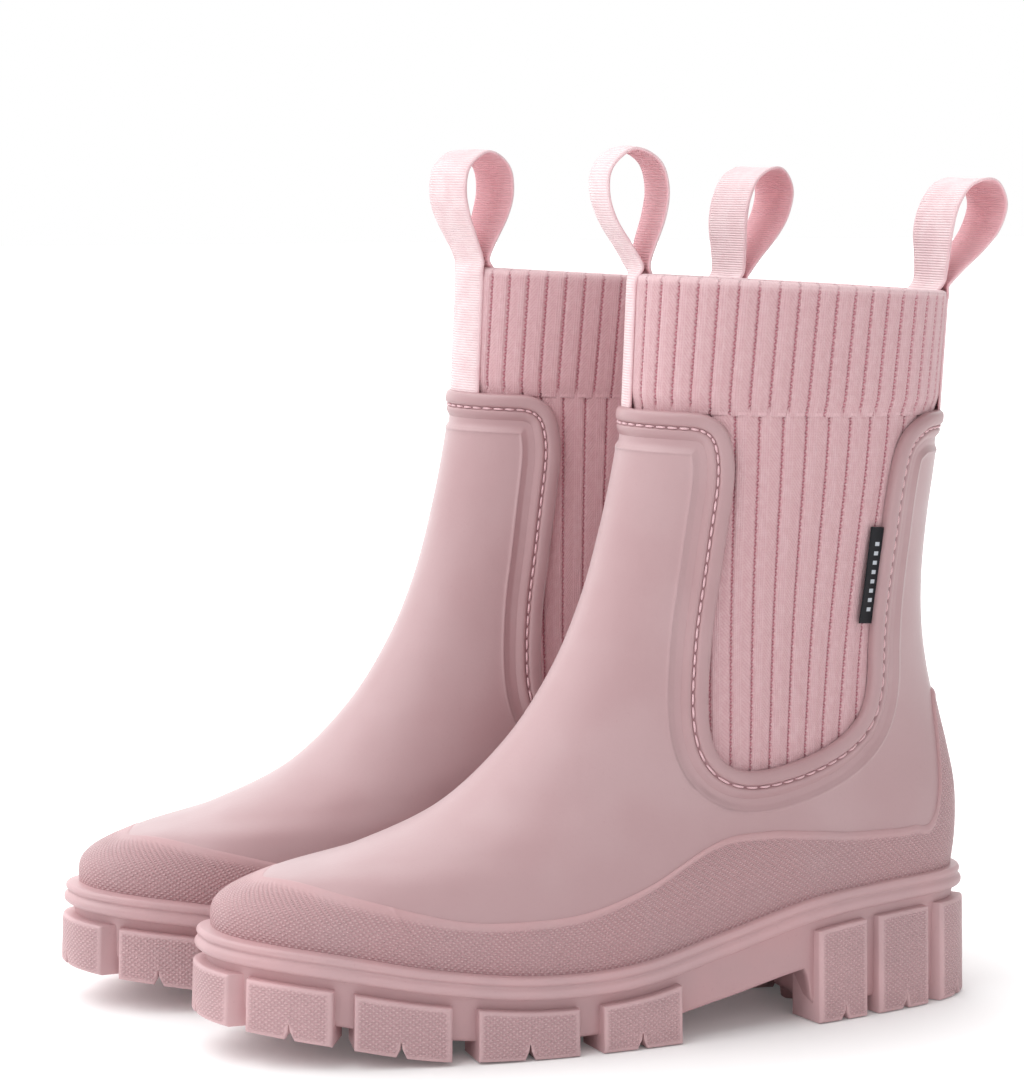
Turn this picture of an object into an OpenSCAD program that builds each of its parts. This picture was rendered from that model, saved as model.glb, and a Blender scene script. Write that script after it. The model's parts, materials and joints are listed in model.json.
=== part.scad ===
// A pair of ankle-high moulded rain boots with ribbed knit gaiters.
// Each boot is drawn in its own frame, toe towards -Y and outer side towards +X, then placed to the left or right.

/* [Foot] */
// Length of the upper at the sole line, toe to heel
foot_length = 281; // [265:1:290]
// Greatest width of the foot from the inner to the outer side
foot_width = 86; // [82:0.5:88]
// How far the side lugs stand out from the upper
lug_reach = 6.6; // [4:0.2:8]

/* [Shaft] */
// Height of the moulded collar above the ground
collar_height = 220; // [205:1:235]
// How far the knit gaiter stands above the collar at the front
gaiter_rise = 48; // [38:1:56]
// Thickness of the moulded wall
wall = 2.2; // [1.6:0.1:2.6]

/* [Loops] */
// Width of the webbing
webbing_width = 25; // [18:1:28]
// Height of the front loops
front_loop_height = 42; // [40:1:60]
// Height of the rear loops
rear_loop_height = 43; // [38:1:58]

/* [Pair] */
// Distance between the middles of the two boots
boot_spacing = 103; // [98:1:140]
// Angle each boot is turned towards the other at the toe
toe_in = 3.5; // [0:0.5:3.5]
// How far the left boot stands behind the right one
stagger = 22; // [0:1:30]

/* [Hidden] */

// Shift that brings the middle of the pair's outline over the origin
pair_shift = [0, -6.5];

length_scale = foot_length / 281;
width_scale = foot_width / 86;
height_scale = (collar_height - 40) / 180;

// Number of facets round the boot; the angles sit half a step off the toe and the heel
around = 40;
step = 360 / around;
angles = [for (i = [0 : around - 1]) (i + 0.5) * step];

// The shell is lofted through these sections, from the sole line up to the collar.
// Each row: front y, front z, back y, back z, outer half width, inner half width
sections = [
    [-140, 40.5, 141, 45, 45, 41],
    [-138, 53, 143, 61, 46, 42],
    [-121.5, 60.5, 143, 77.5, 42.5, 40.5],
    [-93, 66, 140, 92.5, 39, 38.5],
    [-59, 79, 136, 107.5, 36.5, 37.5],
    [-32.5, 101, 132, 123.5, 35.5, 36.5],
    [-14.5, 126, 129.5, 140, 35, 35.5],
    [-3, 151, 129, 158.5, 35.5, 36],
    [4.5, 176, 130.5, 179, 37, 36.5],
    [10, 200, 133, 199.5, 39, 37.5],
    [13.5, 220.5, 134.5, 217.5, 40.5, 38.5]
];
// Share of the half width along the foot, toe to heel
outer_shape = [1.02, 1.04, 1.02, 1, 0.95, 0.89, 0.85, 0.83, 0.88];
inner_shape = [1.06, 1.08, 1.04, 0.97, 0.88, 0.8, 0.8, 0.84, 0.9];

// Heights along the foot, toe to heel: top of the welt, underside of the sole body, ground side of the lugs
welt_heights = [43.5, 38.5, 32, 28, 29, 37, 45, 47.8, 48];
body_heights = [20, 14, 8, 5.5, 6.5, 13, 20, 22, 22];
lug_heights = [14, 8, 1.6, 0, 0, 0, 0, 0, 0];
upper_sink = 3;
lug_drop = 11.5;

// Height of the mudguard's top edge as a share of the way up the shell, toe to heel by angle
guard_line = [
    0.2, 0.21, 0.208, 0.195, 0.175, 0.153, 0.132, 0.116, 0.118, 0.127, 0.165, 0.23, 0.22, 0.188, 0.16, 0.146, 0.14,
    0.16, 0.42, 0.44, 0.445
];
guard_rows = 5;
shell_rows = 12;
rows = guard_rows + shell_rows;
guard_proud = 0.9;
guard_joint = 0.06;

// Edge of the side opening: [share of the way from front to back, share of the way up]
opening_edge = [
    [0.06, 1.02], [0.12, 1.005], [0.175, 0.992], [0.215, 0.97], [0.24, 0.93], [0.256, 0.885], [0.265, 0.83],
    [0.275, 0.77], [0.287, 0.71], [0.305, 0.645], [0.335, 0.582], [0.37, 0.525], [0.42, 0.468], [0.48, 0.422],
    [0.55, 0.393], [0.625, 0.386], [0.695, 0.397], [0.745, 0.42], [0.777, 0.457], [0.785, 0.515], [0.779, 0.575],
    [0.773, 0.64], [0.771, 0.71], [0.769, 0.78], [0.762, 0.84], [0.759, 0.89], [0.766, 0.93], [0.795, 0.968],
    [0.86, 0.994], [0.95, 1.02]
];
edge_points = 44;
lip_width = 5;
lip_height = 1.3;
stitch_inset = 5.6;

// The knit gaiter hangs inside the shell
knit_gap = 0.5;
knit = 1.6;
knit_inset = wall + knit_gap;
knit_start = guard_rows + 2;
rim_front = [18.5, collar_height + gaiter_rise];
rim_back = [134.5, collar_height + gaiter_rise - 7];
rim_half_widths = [42, 39.5];
cuff = 1.4;
fit_gap = 0.15;

lining_gap = 0.4;
lining_thickness = 0.7;
board_thickness = 1.8;
footbed_thickness = 5;

webbing = 1.2;
webbing_gap = 0.5;
hinge_lift = 2.2;
loop_width = 23;
// How the webbing hangs, as [left boot, right boot], in degrees: lean of the loops towards the heel, place of the
// front webbing round the knit, and turn of each loop about the upright
front_lean = [-7, 0];
rear_lean = [26, 14];
front_turn = [-14, 0];
front_yaw = [-5, -7];
rear_yaw = [6, -5];

label_length = 35;
label_width = 7;
label_thickness = 0.8;

heel_start = 0.745;
heel_angle = acos(1 - 2 * heel_start);
heel_body = 6;

// Side lugs round the sole, as angles from the toe
toe_lug = [-17, 17];
side_lugs = [
    [22.5, 42], [46, 62], [66, 81], [84.5, 96.5],
    [120, 130], [133, 147], [152, 168]
];
notch = 3.2;
// Middle lugs under the sole: distance from the middle of the foot
middle_lugs = [-104, -82, -60, -38, -16, 84, 106];
middle_lug_size = 13;

// Blend that starts and ends level
function smooth(x) = x <= 0 ? 0 : x >= 1 ? 1 : x * x * (3 - 2 * x);

// Smooth curve through evenly spaced numbers or rows of numbers
function curve(list, u) =
    let (
        n = len(list) - 1,
        s = min(max(u, 0), 1) * n,
        i = min(floor(s), n - 1),
        f = s - i,
        b = list[i],
        c = list[i + 1],
        a = i == 0 ? 2 * b - c : list[i - 1],
        d = i == n - 1 ? 2 * c - b : list[i + 2]
    )
    b + 0.5 * f * (c - a + f * (2 * a - 5 * b + 4 * c - d + f * (3 * (b - c) + d - a)));

// Share of the way from the toe to the heel at an angle round the boot
function along(angle) = (1 - cos(angle)) / 2;

function is_outer(angle) = sin(angle) >= 0;

function signed(angle, value) = is_outer(angle) ? value : -value;

// Outline of the foot, as a share of the half width
function foot_outline(angle) =
    let (shape = curve(is_outer(angle) ? outer_shape : inner_shape, along(angle)))
    pow(abs(sin(angle)), 0.84) * shape;

// How far the sole line dips below the straight line between its ends
function dip(angle) =
    curve(welt_heights, along(angle)) - welt_heights[0] - (welt_heights[8] - welt_heights[0]) * along(angle);

// How flat the shell lies along the front, from 0 upright to 1 level
function flatness(u) =
    let (d = curve(sections, u + 0.03) - curve(sections, u - 0.03))
    d[0] / norm([d[0], d[1]]);

// Point on the shell: u is the share of the way up, inset moves it into the boot
function shell_point(u, angle, inset = 0) =
    let (
        s = curve(sections, u),
        front = s[0] * length_scale + inset,
        back = s[2] * length_scale - inset,
        half = (is_outer(angle) ? s[4] : s[5]) * width_scale - inset,
        t = along(angle),
        round = smooth(u / 0.55),
        outline = foot_outline(angle) * (1 - round) + abs(sin(angle)) * round,
        low = s[1] + (s[3] - s[1]) * t,
        z = low > 40 ? 40 + (low - 40) * height_scale : low,
        drop = inset * flatness(u) * smooth(u / 0.1) * (1 - round) * pow(1 - t, 1.5)
    )
    [
        signed(angle, half * outline),
        front + (back - front) * t,
        z + dip(angle) * pow(max(1 - u / 0.45, 0), 1.5) - drop
    ];

// Outward direction of the shell at a point
function shell_normal(u, angle) =
    let (
        up = shell_point(min(u + 0.01, 1), angle) - shell_point(min(u + 0.01, 1) - 0.02, angle),
        side = shell_point(u, angle + 1) - shell_point(u, angle - 1),
        n = cross(side, up)
    )
    n / norm(n);

// Rows of the loft: the first ones follow the mudguard, the rest fill the shell above it
function guard_top(angle) = curve(guard_line, angle <= 180 ? angle / 180 : 2 - angle / 180);

function row_height(row, angle) =
    let (top = guard_top(angle))
    row <= guard_rows
        ? top * row / guard_rows
        : top + (1 - top) * (row - guard_rows) / shell_rows;

function row_point(row, angle, inset) = shell_point(row_height(row, angle), angle, inset);

// Point on the knit above the collar, v from the collar to the rim
function knit_point(v, angle, inset = 0) =
    let (
        t = along(angle),
        low = shell_point(1, angle, knit_inset + inset),
        half = rim_half_widths[is_outer(angle) ? 0 : 1] * width_scale - inset,
        front = rim_front[0] * length_scale + inset,
        back = rim_back[0] * length_scale - inset,
        high = [
            signed(angle, half * abs(sin(angle))),
            front + (back - front) * t,
            rim_front[1] + (rim_back[1] - rim_front[1]) * t
        ]
    )
    low + (high - low) * v;

// Point beside the foot at a height above the ground
function sole_point(angle, reach, z) =
    let (p = shell_point(0, angle, -reach))
    [p[0], p[1], z];

function welt_height(angle) = curve(welt_heights, along(angle));

// Solid swept through a list of loops of points
module sweep(loops, closed = false) {
    size = len(loops[0]);
    count = len(loops);
    last = closed ? count - 1 : count - 2;
    sides = [
        for (i = [0 : last], j = [0 : size - 1])
            let (k = (i + 1) % count, m = (j + 1) % size)
            each [
                [i * size + j, i * size + m, k * size + m],
                [i * size + j, k * size + m, k * size + j]
            ]
    ];
    start = [for (j = [1 : size - 2]) [0, j + 1, j]];
    base = (count - 1) * size;
    end = [for (j = [1 : size - 2]) [base, base + j, base + j + 1]];
    polyhedron(
        points = [for (loop = loops) each loop],
        faces = closed ? sides : concat(sides, start, end),
        convexity = 8
    );
}

// Slab with the outline of the foot; its bottom and top heights follow the length of the foot
module slab(outline, reach, bottom, top) {
    count = len(outline);
    half = count / 2;
    low = [for (a = outline) sole_point(a, reach, bottom(along(a)))];
    high = [for (a = outline) sole_point(a, reach, top(along(a)))];
    walls = [
        for (i = [0 : count - 1])
            let (k = (i + 1) % count)
            each [[i, k + count, k], [i, i + count, k + count]]
    ];
    strips = [
        for (i = [0 : half - 2])
            let (p = count - 1 - i)
            each [[i, i + 1, p - 1], [i, p - 1, p]]
    ];
    lids = [for (f = strips) [f[2] + count, f[1] + count, f[0] + count]];
    polyhedron(points = concat(low, high), faces = concat(walls, strips, lids), convexity = 6);
}

// One block of the tread at the side of the sole, with a small notch in its ground edge
module side_lug(from, to) {
    count = 6;
    middle = count / 2;
    sweep([
        for (i = [0 : count])
            let (
                a = from + (to - from) * i / count,
                t = along(a),
                low = curve(lug_heights, t) + (i == middle ? notch : 0),
                high = welt_height(a) - lug_drop
            )
            [
                sole_point(a, lug_reach - 0.4, low),
                sole_point(a, lug_reach, high - 1.8),
                sole_point(a, lug_reach - 1.6, high),
                sole_point(a, -15, high),
                sole_point(a, -15, low)
            ]
    ]);
}

module middle_lug(y) {
    t = (y / length_scale + 140) / 281;
    low = curve(lug_heights, t);
    high = t > heel_start ? heel_body : curve(body_heights, t);
    translate([0, y, low])
        rotate([0, 0, 45])
            translate([-middle_lug_size / 2, -middle_lug_size / 2, 0])
                cube([middle_lug_size, middle_lug_size, high - low + 1]);
}

module outsole() {
    body = function (t) curve(body_heights, t);
    top = function (t) curve(welt_heights, t) - upper_sink - fit_gap;
    heel_outline = concat(
        [heel_angle],
        [for (a = angles) if (a > heel_angle + 1 && a < 359 - heel_angle) a],
        [360 - heel_angle]
    );
    color("#d293a0") {
        slab(angles, 1.5, body, top);
        slab(heel_outline, 1.5, function (t) heel_body, function (t) welt_heights[6] - lug_drop);
        side_lug(toe_lug[0], toe_lug[1]);
        for (lug = side_lugs) {
            side_lug(lug[0], lug[1]);
            side_lug(360 - lug[1], 360 - lug[0]);
        }
        for (y = middle_lugs)
            middle_lug(y * length_scale);
    }
}

// Two beads round the top of the sole
module welt() {
    profile = [[1.65, -8.4], [4.2, -8.4], [5, -7], [4.8, -5], [3.6, -4.4], [4.6, -3.4], [4.4, -0.9], [1.65, 0]];
    color("#d9a0ab")
        sweep([
            for (a = angles)
                [for (p = profile) sole_point(a, p[0], welt_height(a) + p[1])]
        ], closed = true);
}

// Ring of wall between two rows of the loft
module shell_ring(from, to, outer, inner) {
    sweep([
        for (a = angles)
            concat(
                [for (r = [from : to]) row_point(r, a, outer)],
                [for (r = [to : -1 : from]) row_point(r, a, inner)]
            )
    ], closed = true);
}

// The textured rand low on the foot, with its kick tab up the heel
module mudguard() {
    top = guard_rows - guard_joint;
    color("#d497a3")
        sweep([
            for (a = angles)
                concat(
                    [for (r = [0 : guard_rows]) row_point(min(r, top), a, -guard_proud)],
                    [for (r = [guard_rows : -1 : 0]) row_point(min(r, top), a, wall)]
                )
        ], closed = true);
}

function opening_angle(t) = acos(1 - 2 * min(max(t, 0.001), 0.999));

function edge_at(i) = curve(opening_edge, i / edge_points);

function side_view(t, u) =
    let (p = shell_point(u, opening_angle(t)))
    [p[1], p[2] + max(u - 1, 0) * 400];

// Frame on the shell beside the opening: point, direction away from the opening, outward direction
function edge_frame(i, side) =
    let (
        before = edge_at(i - 0.5),
        after = edge_at(i + 0.5),
        here = edge_at(i),
        angle = side * opening_angle(here[0]),
        turn = side < 0 ? 360 : 0,
        p = shell_point(min(here[1], 1), angle + turn),
        q = shell_point(min(after[1], 1), side * opening_angle(after[0]) + turn)
            - shell_point(min(before[1], 1), side * opening_angle(before[0]) + turn),
        n = shell_normal(min(here[1], 0.985), angle + turn),
        away = cross(q, n) * side
    )
    [p, away / norm(away), n];

// Bar of a given section that follows the edge of the opening
module edge_run(side, section) {
    sweep([
        for (i = [2 : edge_points - 2])
            let (f = edge_frame(i, side))
            [for (s = side < 0 ? section : [for (k = [len(section) - 1 : -1 : 0]) section[k]])
                f[0] + f[1] * s[0] + f[2] * s[1]]
    ]);
}

module opening_cut() {
    outline = [for (i = [0 : edge_points]) let (e = edge_at(i)) side_view(e[0], e[1])];
    rotate([90, 0, 90])
        linear_extrude(height = 160, center = true)
            polygon(concat(outline, [[outline[edge_points][0], 300], [outline[0][0], 300]]));
}

// The smooth moulded shell, open at both sides, with a raised lip round each opening
module upper() {
    lip = [[0.1, -1.2], [0.1, lip_height * 0.7], [1.2, lip_height], [lip_width - 1, lip_height], [lip_width, -1.2]];
    color("#dba1ad")
        resize([0, 0, 0]) {
            difference() {
                shell_ring(guard_rows, rows, 0, wall);
                opening_cut();
            }
            edge_run(1, lip);
            edge_run(-1, lip);
        }
}

// The thread that sews the shell to the gaiter, one run beside each opening
module stitching() {
    low = 0.4;
    section = [
        [stitch_inset, low], [stitch_inset, low + 0.7], [stitch_inset + 0.9, low + 0.7], [stitch_inset + 0.9, low]
    ];
    color("#e9b9c2") {
        edge_run(1, section);
        edge_run(-1, section);
    }
}

module lining() {
    color("#d8a7a9")
        shell_ring(0, knit_start - 1, wall + lining_gap, wall + lining_gap + lining_thickness);
}

module insole_board() {
    reach = -(wall + lining_gap + lining_thickness + 0.4);
    color("#c9a58c")
        slab(
            angles,
            reach,
            function (t) curve(welt_heights, t) - upper_sink,
            function (t) curve(welt_heights, t) - upper_sink + board_thickness
        );
}

module footbed() {
    base = board_thickness - upper_sink + 0.3;
    color("#e3c1c4")
        slab(
            angles,
            -(wall + lining_gap + lining_thickness + 1.6),
            function (t) curve(welt_heights, t) + base,
            function (t) curve(welt_heights, t) + base + footbed_thickness
        );
}

// Knit tube inside the shell and above the collar
module gaiter() {
    top = 1 - 2.2 / gaiter_rise;
    color("#efb7c0")
        sweep([
            for (a = angles)
                concat(
                    [for (r = [knit_start : rows]) row_point(r, a, knit_inset)],
                    [knit_point(top, a), knit_point(top, a, knit)],
                    [for (r = [rows : -1 : knit_start]) row_point(r, a, knit_inset + knit)]
                )
        ], closed = true);
}

// Band folded over the top of the gaiter, with its outer layer down to the collar
module folded_cuff() {
    bottom = 0.9 / gaiter_rise;
    ledge = 1 - 2 / gaiter_rise;
    inner_end = 1 - 14 / gaiter_rise;
    color("#f2bcc5")
        sweep([
            for (a = angles)
                [
                    knit_point(bottom, a, -fit_gap),
                    knit_point(bottom, a, -fit_gap - cuff),
                    knit_point(0.98, a, -fit_gap - cuff),
                    knit_point(1, a, -fit_gap - cuff / 2),
                    knit_point(1, a, knit + fit_gap + cuff / 2),
                    knit_point(0.98, a, knit + fit_gap + cuff),
                    knit_point(inner_end, a, knit + fit_gap + cuff),
                    knit_point(inner_end, a, knit + fit_gap),
                    knit_point(ledge, a, knit + fit_gap),
                    knit_point(ledge, a, -fit_gap)
                ]
        ], closed = true);
}

// Two strips of webbing sewn over the cuff, one outside and one inside
module anchor(middle) {
    half = asin(webbing_width / 2 / 41);
    spread = [-half, -half / 3, half / 3, half];
    outer = -fit_gap - cuff - webbing_gap;
    inner = knit + fit_gap + cuff + webbing_gap;
    color("#eeb0bb") {
        sweep([
            for (d = spread)
                let (a = (middle + d + 360) % 360)
                [
                    knit_point(0.04, a, outer),
                    knit_point(0.04, a, outer - webbing),
                    knit_point(0.985, a, outer - webbing),
                    knit_point(0.985, a, outer)
                ]
        ]);
        sweep([
            for (d = spread)
                let (a = (middle + d + 360) % 360)
                [
                    knit_point(0.3, a, inner + webbing),
                    knit_point(0.3, a, inner),
                    knit_point(0.985, a, inner),
                    knit_point(0.985, a, inner + webbing)
                ]
        ]);
    }
}

// Middle line of the hinge at the foot of a loop
function loop_foot(middle) =
    (knit_point(1, middle, 0) + knit_point(1, middle, knit)) / 2 + [0, 0, hinge_lift];

// Outline of a teardrop loop in its own plane: a round head on two legs that meet at the foot
function teardrop(height, half, foot) =
    let (rise = height - half, tilt = asin((half - foot) / rise))
    concat(
        [for (a = [-tilt : 9 : 180 + tilt]) [half * cos(a), rise + half * sin(a)]],
        [for (a = [180 + tilt : 15 : 360 - tilt]) [foot * cos(a), foot * sin(a)]]
    );

// Free loop of webbing; it leans about its foot, and a positive lean goes backwards
module loop(middle, height, lean, yaw) {
    half = loop_width / 2;
    color("#f0b6c0")
        translate(loop_foot(middle))
            rotate([0, 0, yaw])
                rotate([-lean, 0, 0])
                    rotate([90, 0, 90])
                        linear_extrude(height = webbing_width, center = true)
                            difference() {
                                polygon(teardrop(height, half, webbing));
                                translate([0, 3 * webbing])
                                    polygon(teardrop(height - 4 * webbing, half - webbing, 0.2));
                            }
}

// Folded woven label; its rear edge is sewn along the rear edge of the outer opening
module label() {
    foot = shell_point(0.64, opening_angle(0.762), knit_inset);
    head = shell_point(0.805, opening_angle(0.756), knit_inset);
    up = (head - foot) / norm(head - foot);
    toewards = cross(shell_normal(0.72, opening_angle(0.72)), up);
    outward = cross(up, toewards) / norm(toewards);
    forward = cross(outward, up);
    corner = (foot + head) / 2 - up * label_length / 2 + outward * 0.9;
    color("#232428")
        multmatrix([
            [up[0], forward[0], outward[0], corner[0]],
            [up[1], forward[1], outward[1], corner[1]],
            [up[2], forward[2], outward[2], corner[2]]
        ])
            cube([label_length, label_width, label_thickness]);
}

// Puts a boot drawn in its own frame on the left or right of the pair
module place(side) {
    translate([side * boot_spacing / 2 + pair_shift[0], side * stagger / 2 + pair_shift[1], 0])
        rotate([0, 0, -side * toe_in])
            mirror([side < 0 ? 1 : 0, 0, 0])
                children();
}

module left_outsole() { place(1) outsole(); }
module left_welt() { place(1) welt(); }
module left_mudguard() { place(1) mudguard(); }
module left_upper() { place(1) upper(); }
module left_lining() { place(1) lining(); }
module left_insole_board() { place(1) insole_board(); }
module left_footbed() { place(1) footbed(); }
module left_gaiter() { place(1) gaiter(); }
module left_cuff() { place(1) folded_cuff(); }
module left_stitching() { place(1) stitching(); }
module left_front_anchor() { place(1) anchor(front_turn[0]); }
module left_rear_anchor() { place(1) anchor(180); }
module left_front_loop() {
    place(1) loop(360 + front_turn[0], front_loop_height, front_lean[0], front_yaw[0]);
}
module left_rear_loop() {
    place(1) loop(180, rear_loop_height, rear_lean[0], rear_yaw[0]);
}
module left_label() { place(1) label(); }

module right_outsole() { place(-1) outsole(); }
module right_welt() { place(-1) welt(); }
module right_mudguard() { place(-1) mudguard(); }
module right_upper() { place(-1) upper(); }
module right_lining() { place(-1) lining(); }
module right_insole_board() { place(-1) insole_board(); }
module right_footbed() { place(-1) footbed(); }
module right_gaiter() { place(-1) gaiter(); }
module right_cuff() { place(-1) folded_cuff(); }
module right_stitching() { place(-1) stitching(); }
module right_front_anchor() { place(-1) anchor(front_turn[1]); }
module right_rear_anchor() { place(-1) anchor(180); }
module right_front_loop() {
    place(-1) loop(front_turn[1], front_loop_height, front_lean[1], front_yaw[1]);
}
module right_rear_loop() {
    place(-1) loop(180, rear_loop_height, rear_lean[1], rear_yaw[1]);
}
module right_label() { place(-1) label(); }

left_outsole();
left_welt();
left_mudguard();
left_upper();
left_lining();
left_insole_board();
left_footbed();
left_gaiter();
left_cuff();
left_stitching();
left_front_anchor();
left_rear_anchor();
left_front_loop();
left_rear_loop();
left_label();
right_outsole();
right_welt();
right_mudguard();
right_upper();
right_lining();
right_insole_board();
right_footbed();
right_gaiter();
right_cuff();
right_stitching();
right_front_anchor();
right_rear_anchor();
right_front_loop();
right_rear_loop();
right_label();
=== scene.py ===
"""A pair of pull-on rain boots with ribbed knit gaiters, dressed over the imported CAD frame.

Each boot is drawn in its own frame, in millimetres: toe towards -Y, outer side towards +X, sole on the floor.
Angles run round the boot from the toe, over the outer side, to the heel and back over the inner side.
"""

import json
import math

import bpy
import numpy as np
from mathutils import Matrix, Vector


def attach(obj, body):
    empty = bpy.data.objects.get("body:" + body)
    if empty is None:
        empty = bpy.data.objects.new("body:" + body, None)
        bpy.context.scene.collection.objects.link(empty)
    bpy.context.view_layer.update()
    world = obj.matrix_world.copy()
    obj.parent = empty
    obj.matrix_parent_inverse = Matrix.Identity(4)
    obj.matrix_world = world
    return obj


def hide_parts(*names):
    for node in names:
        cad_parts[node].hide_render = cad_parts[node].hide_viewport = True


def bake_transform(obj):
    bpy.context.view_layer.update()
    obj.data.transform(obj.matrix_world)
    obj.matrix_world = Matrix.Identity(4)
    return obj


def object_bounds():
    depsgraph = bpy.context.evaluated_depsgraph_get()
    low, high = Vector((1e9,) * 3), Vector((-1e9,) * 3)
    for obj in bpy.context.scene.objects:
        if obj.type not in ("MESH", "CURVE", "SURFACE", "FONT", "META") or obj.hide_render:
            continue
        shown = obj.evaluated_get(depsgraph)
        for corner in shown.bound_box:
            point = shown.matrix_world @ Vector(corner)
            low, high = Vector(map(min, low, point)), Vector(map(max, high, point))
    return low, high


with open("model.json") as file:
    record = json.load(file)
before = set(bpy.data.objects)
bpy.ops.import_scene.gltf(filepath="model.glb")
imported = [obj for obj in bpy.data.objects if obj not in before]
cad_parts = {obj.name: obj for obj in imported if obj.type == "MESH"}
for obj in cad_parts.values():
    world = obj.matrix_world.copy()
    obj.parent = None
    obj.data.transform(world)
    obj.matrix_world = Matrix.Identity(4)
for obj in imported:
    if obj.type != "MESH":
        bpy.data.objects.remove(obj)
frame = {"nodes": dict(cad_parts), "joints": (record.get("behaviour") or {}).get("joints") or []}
cad_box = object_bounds()

MM = 0.001
TURN = 2 * math.pi
SIDES = {"left": 1, "right": -1}

# ---------------------------------------------------------------- shape of the boot, as in the CAD part

SOLE_TOE = -140
SOLE_LENGTH = 281

# Each row: front y, front z, back y, back z, outer half width, inner half width
SECTIONS = [
    [-140, 40.5, 141, 45, 45, 41],
    [-138, 53, 143, 61, 46, 42],
    [-121.5, 60.5, 143, 77.5, 42.5, 40.5],
    [-93, 66, 140, 92.5, 39, 38.5],
    [-59, 79, 136, 107.5, 36.5, 37.5],
    [-32.5, 101, 132, 123.5, 35.5, 36.5],
    [-14.5, 126, 129.5, 140, 35, 35.5],
    [-3, 151, 129, 158.5, 35.5, 36],
    [4.5, 176, 130.5, 179, 37, 36.5],
    [10, 200, 133, 199.5, 39, 37.5],
    [13.5, 220.5, 134.5, 217.5, 40.5, 38.5],
]
OUTER_SHAPE = [1.02, 1.04, 1.02, 1, 0.95, 0.89, 0.85, 0.83, 0.88]
INNER_SHAPE = [1.06, 1.08, 1.04, 0.97, 0.88, 0.8, 0.8, 0.84, 0.9]

# Heights along the foot, toe to heel
WELT_HEIGHTS = [43.5, 38.5, 32, 28, 29, 37, 45, 47.8, 48]
BODY_HEIGHTS = [20, 14, 8, 5.5, 6.5, 13, 20, 22, 22]
LUG_HEIGHTS = [14, 8, 1.6, 0, 0, 0, 0, 0, 0]
HEEL_START = 0.745
HEEL_BODY = 6

# Tread blocks: spans in degrees, places of the middle ones along y, then sizes
TOE_LUG = (-17, 17)
SIDE_LUGS = [(22.5, 42), (46, 62), (66, 81), (84.5, 96.5), (120, 130), (133, 147), (152, 172)]
MIDDLE_LUGS = [-104, -82, -60, -38, -16, 84, 106]
LUG_DROP = 11.5
LUG_REACH = 6.6
LUG_DEPTH = 17
LUG_ROUND = 1.1
NOTCH_HALF = 1.9
NOTCH_HEIGHT = 3.8

# Mudguard top as a share of the way up the shell, toe to heel by angle
GUARD_LINE = [
    0.2, 0.21, 0.208, 0.195, 0.175, 0.153, 0.132, 0.116, 0.118, 0.127, 0.165, 0.23, 0.22, 0.188, 0.16,
    0.146, 0.14, 0.16, 0.42, 0.44, 0.445,
]
GUARD_PROUD = 0.9
GUARD_OVERLAP = 0.12
GUARD_EDGE = 1.6

# Mould parting line across the mudguard, as angle in degrees and share up
PARTING_FOOT = (59.8, 0.012)
PARTING_HEAD = (50.6, 0.12)

# Edge of the side opening: [share of the way from front to back, share of the way up]
OPENING_EDGE = [
    [0.06, 1.02], [0.12, 1.005], [0.175, 0.992], [0.215, 0.97], [0.24, 0.93], [0.256, 0.885],
    [0.265, 0.83], [0.275, 0.77], [0.287, 0.71], [0.305, 0.645], [0.335, 0.582], [0.37, 0.525],
    [0.42, 0.468], [0.48, 0.422], [0.55, 0.393], [0.625, 0.386], [0.695, 0.397], [0.745, 0.42],
    [0.777, 0.457], [0.785, 0.515], [0.779, 0.575], [0.773, 0.64], [0.771, 0.71], [0.769, 0.78],
    [0.762, 0.84], [0.759, 0.89], [0.766, 0.93], [0.795, 0.968], [0.86, 0.994], [0.95, 1.02],
]

# Sunk channel beside the lip: depth, where it ends, and the fine ridge beyond it, from the free edge
CHANNEL = 0.65
CHANNEL_END = 12.2
RIDGE_AT = 14.6
RIDGE = 0.32

# Rolled lip: distance from the shell's free edge, and height over the shell
LIP_PROFILE = [
    [0.15, -2.2], [-0.05, -1.2], [-0.05, -0.2], [0.2, 0.7], [0.8, 1.35], [1.8, 1.65], [3.0, 1.7], [4.1, 1.5],
    [4.8, 1.05], [5.15, 0.35], [5.6, 0.1], [6.1, 0.15], [6.5, 0.6], [7.2, 0.75], [8.2, 0.45], [9.2, -0.2],
    [10.2, -0.95],
]
LIP_COVERS = 4.2
STITCH_AT = 5.65
STITCH_PITCH = 4.5
STITCH_LENGTH = 3.5

# Thicknesses, gaps and depths under the shell's surface
WALL = 2.2
UPPER_SINK = 3
FIT_GAP = 0.15
KNIT_INSET = 2.7
KNIT = 1.6
CUFF = 1.4
LINING_INSET = WALL + 0.4
LINING = 0.7
FOOTBED_INSET = 4.9

# Shares of the way from the mudguard's top to the collar
LINING_TOP = 1 / 12
GAITER_FOOT = 2 / 12

# Rim of the knit: y and z at the front and back, and half widths of the outer and inner side
RIM_FRONT = (18.5, 268)
RIM_BACK = (134.5, 261)
RIM_HALF_WIDTHS = (42, 39.5)
KNIT_RISE = 48
CUFF_TUCK = 14
GAITER_RIBS = 35
CUFF_RIBS = 44

# Webbing: its thickness and width, where the hinges are, and reaches below and above them that are handed to
# bend, which does not use them
WEBBING = 1.2
WEBBING_WIDTH = 25
HINGE_LIFT = 2.2
HINGE_BELOW = 2.5
HINGE_ABOVE = 4
REAR_HINGE_Y = 133.7

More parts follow.
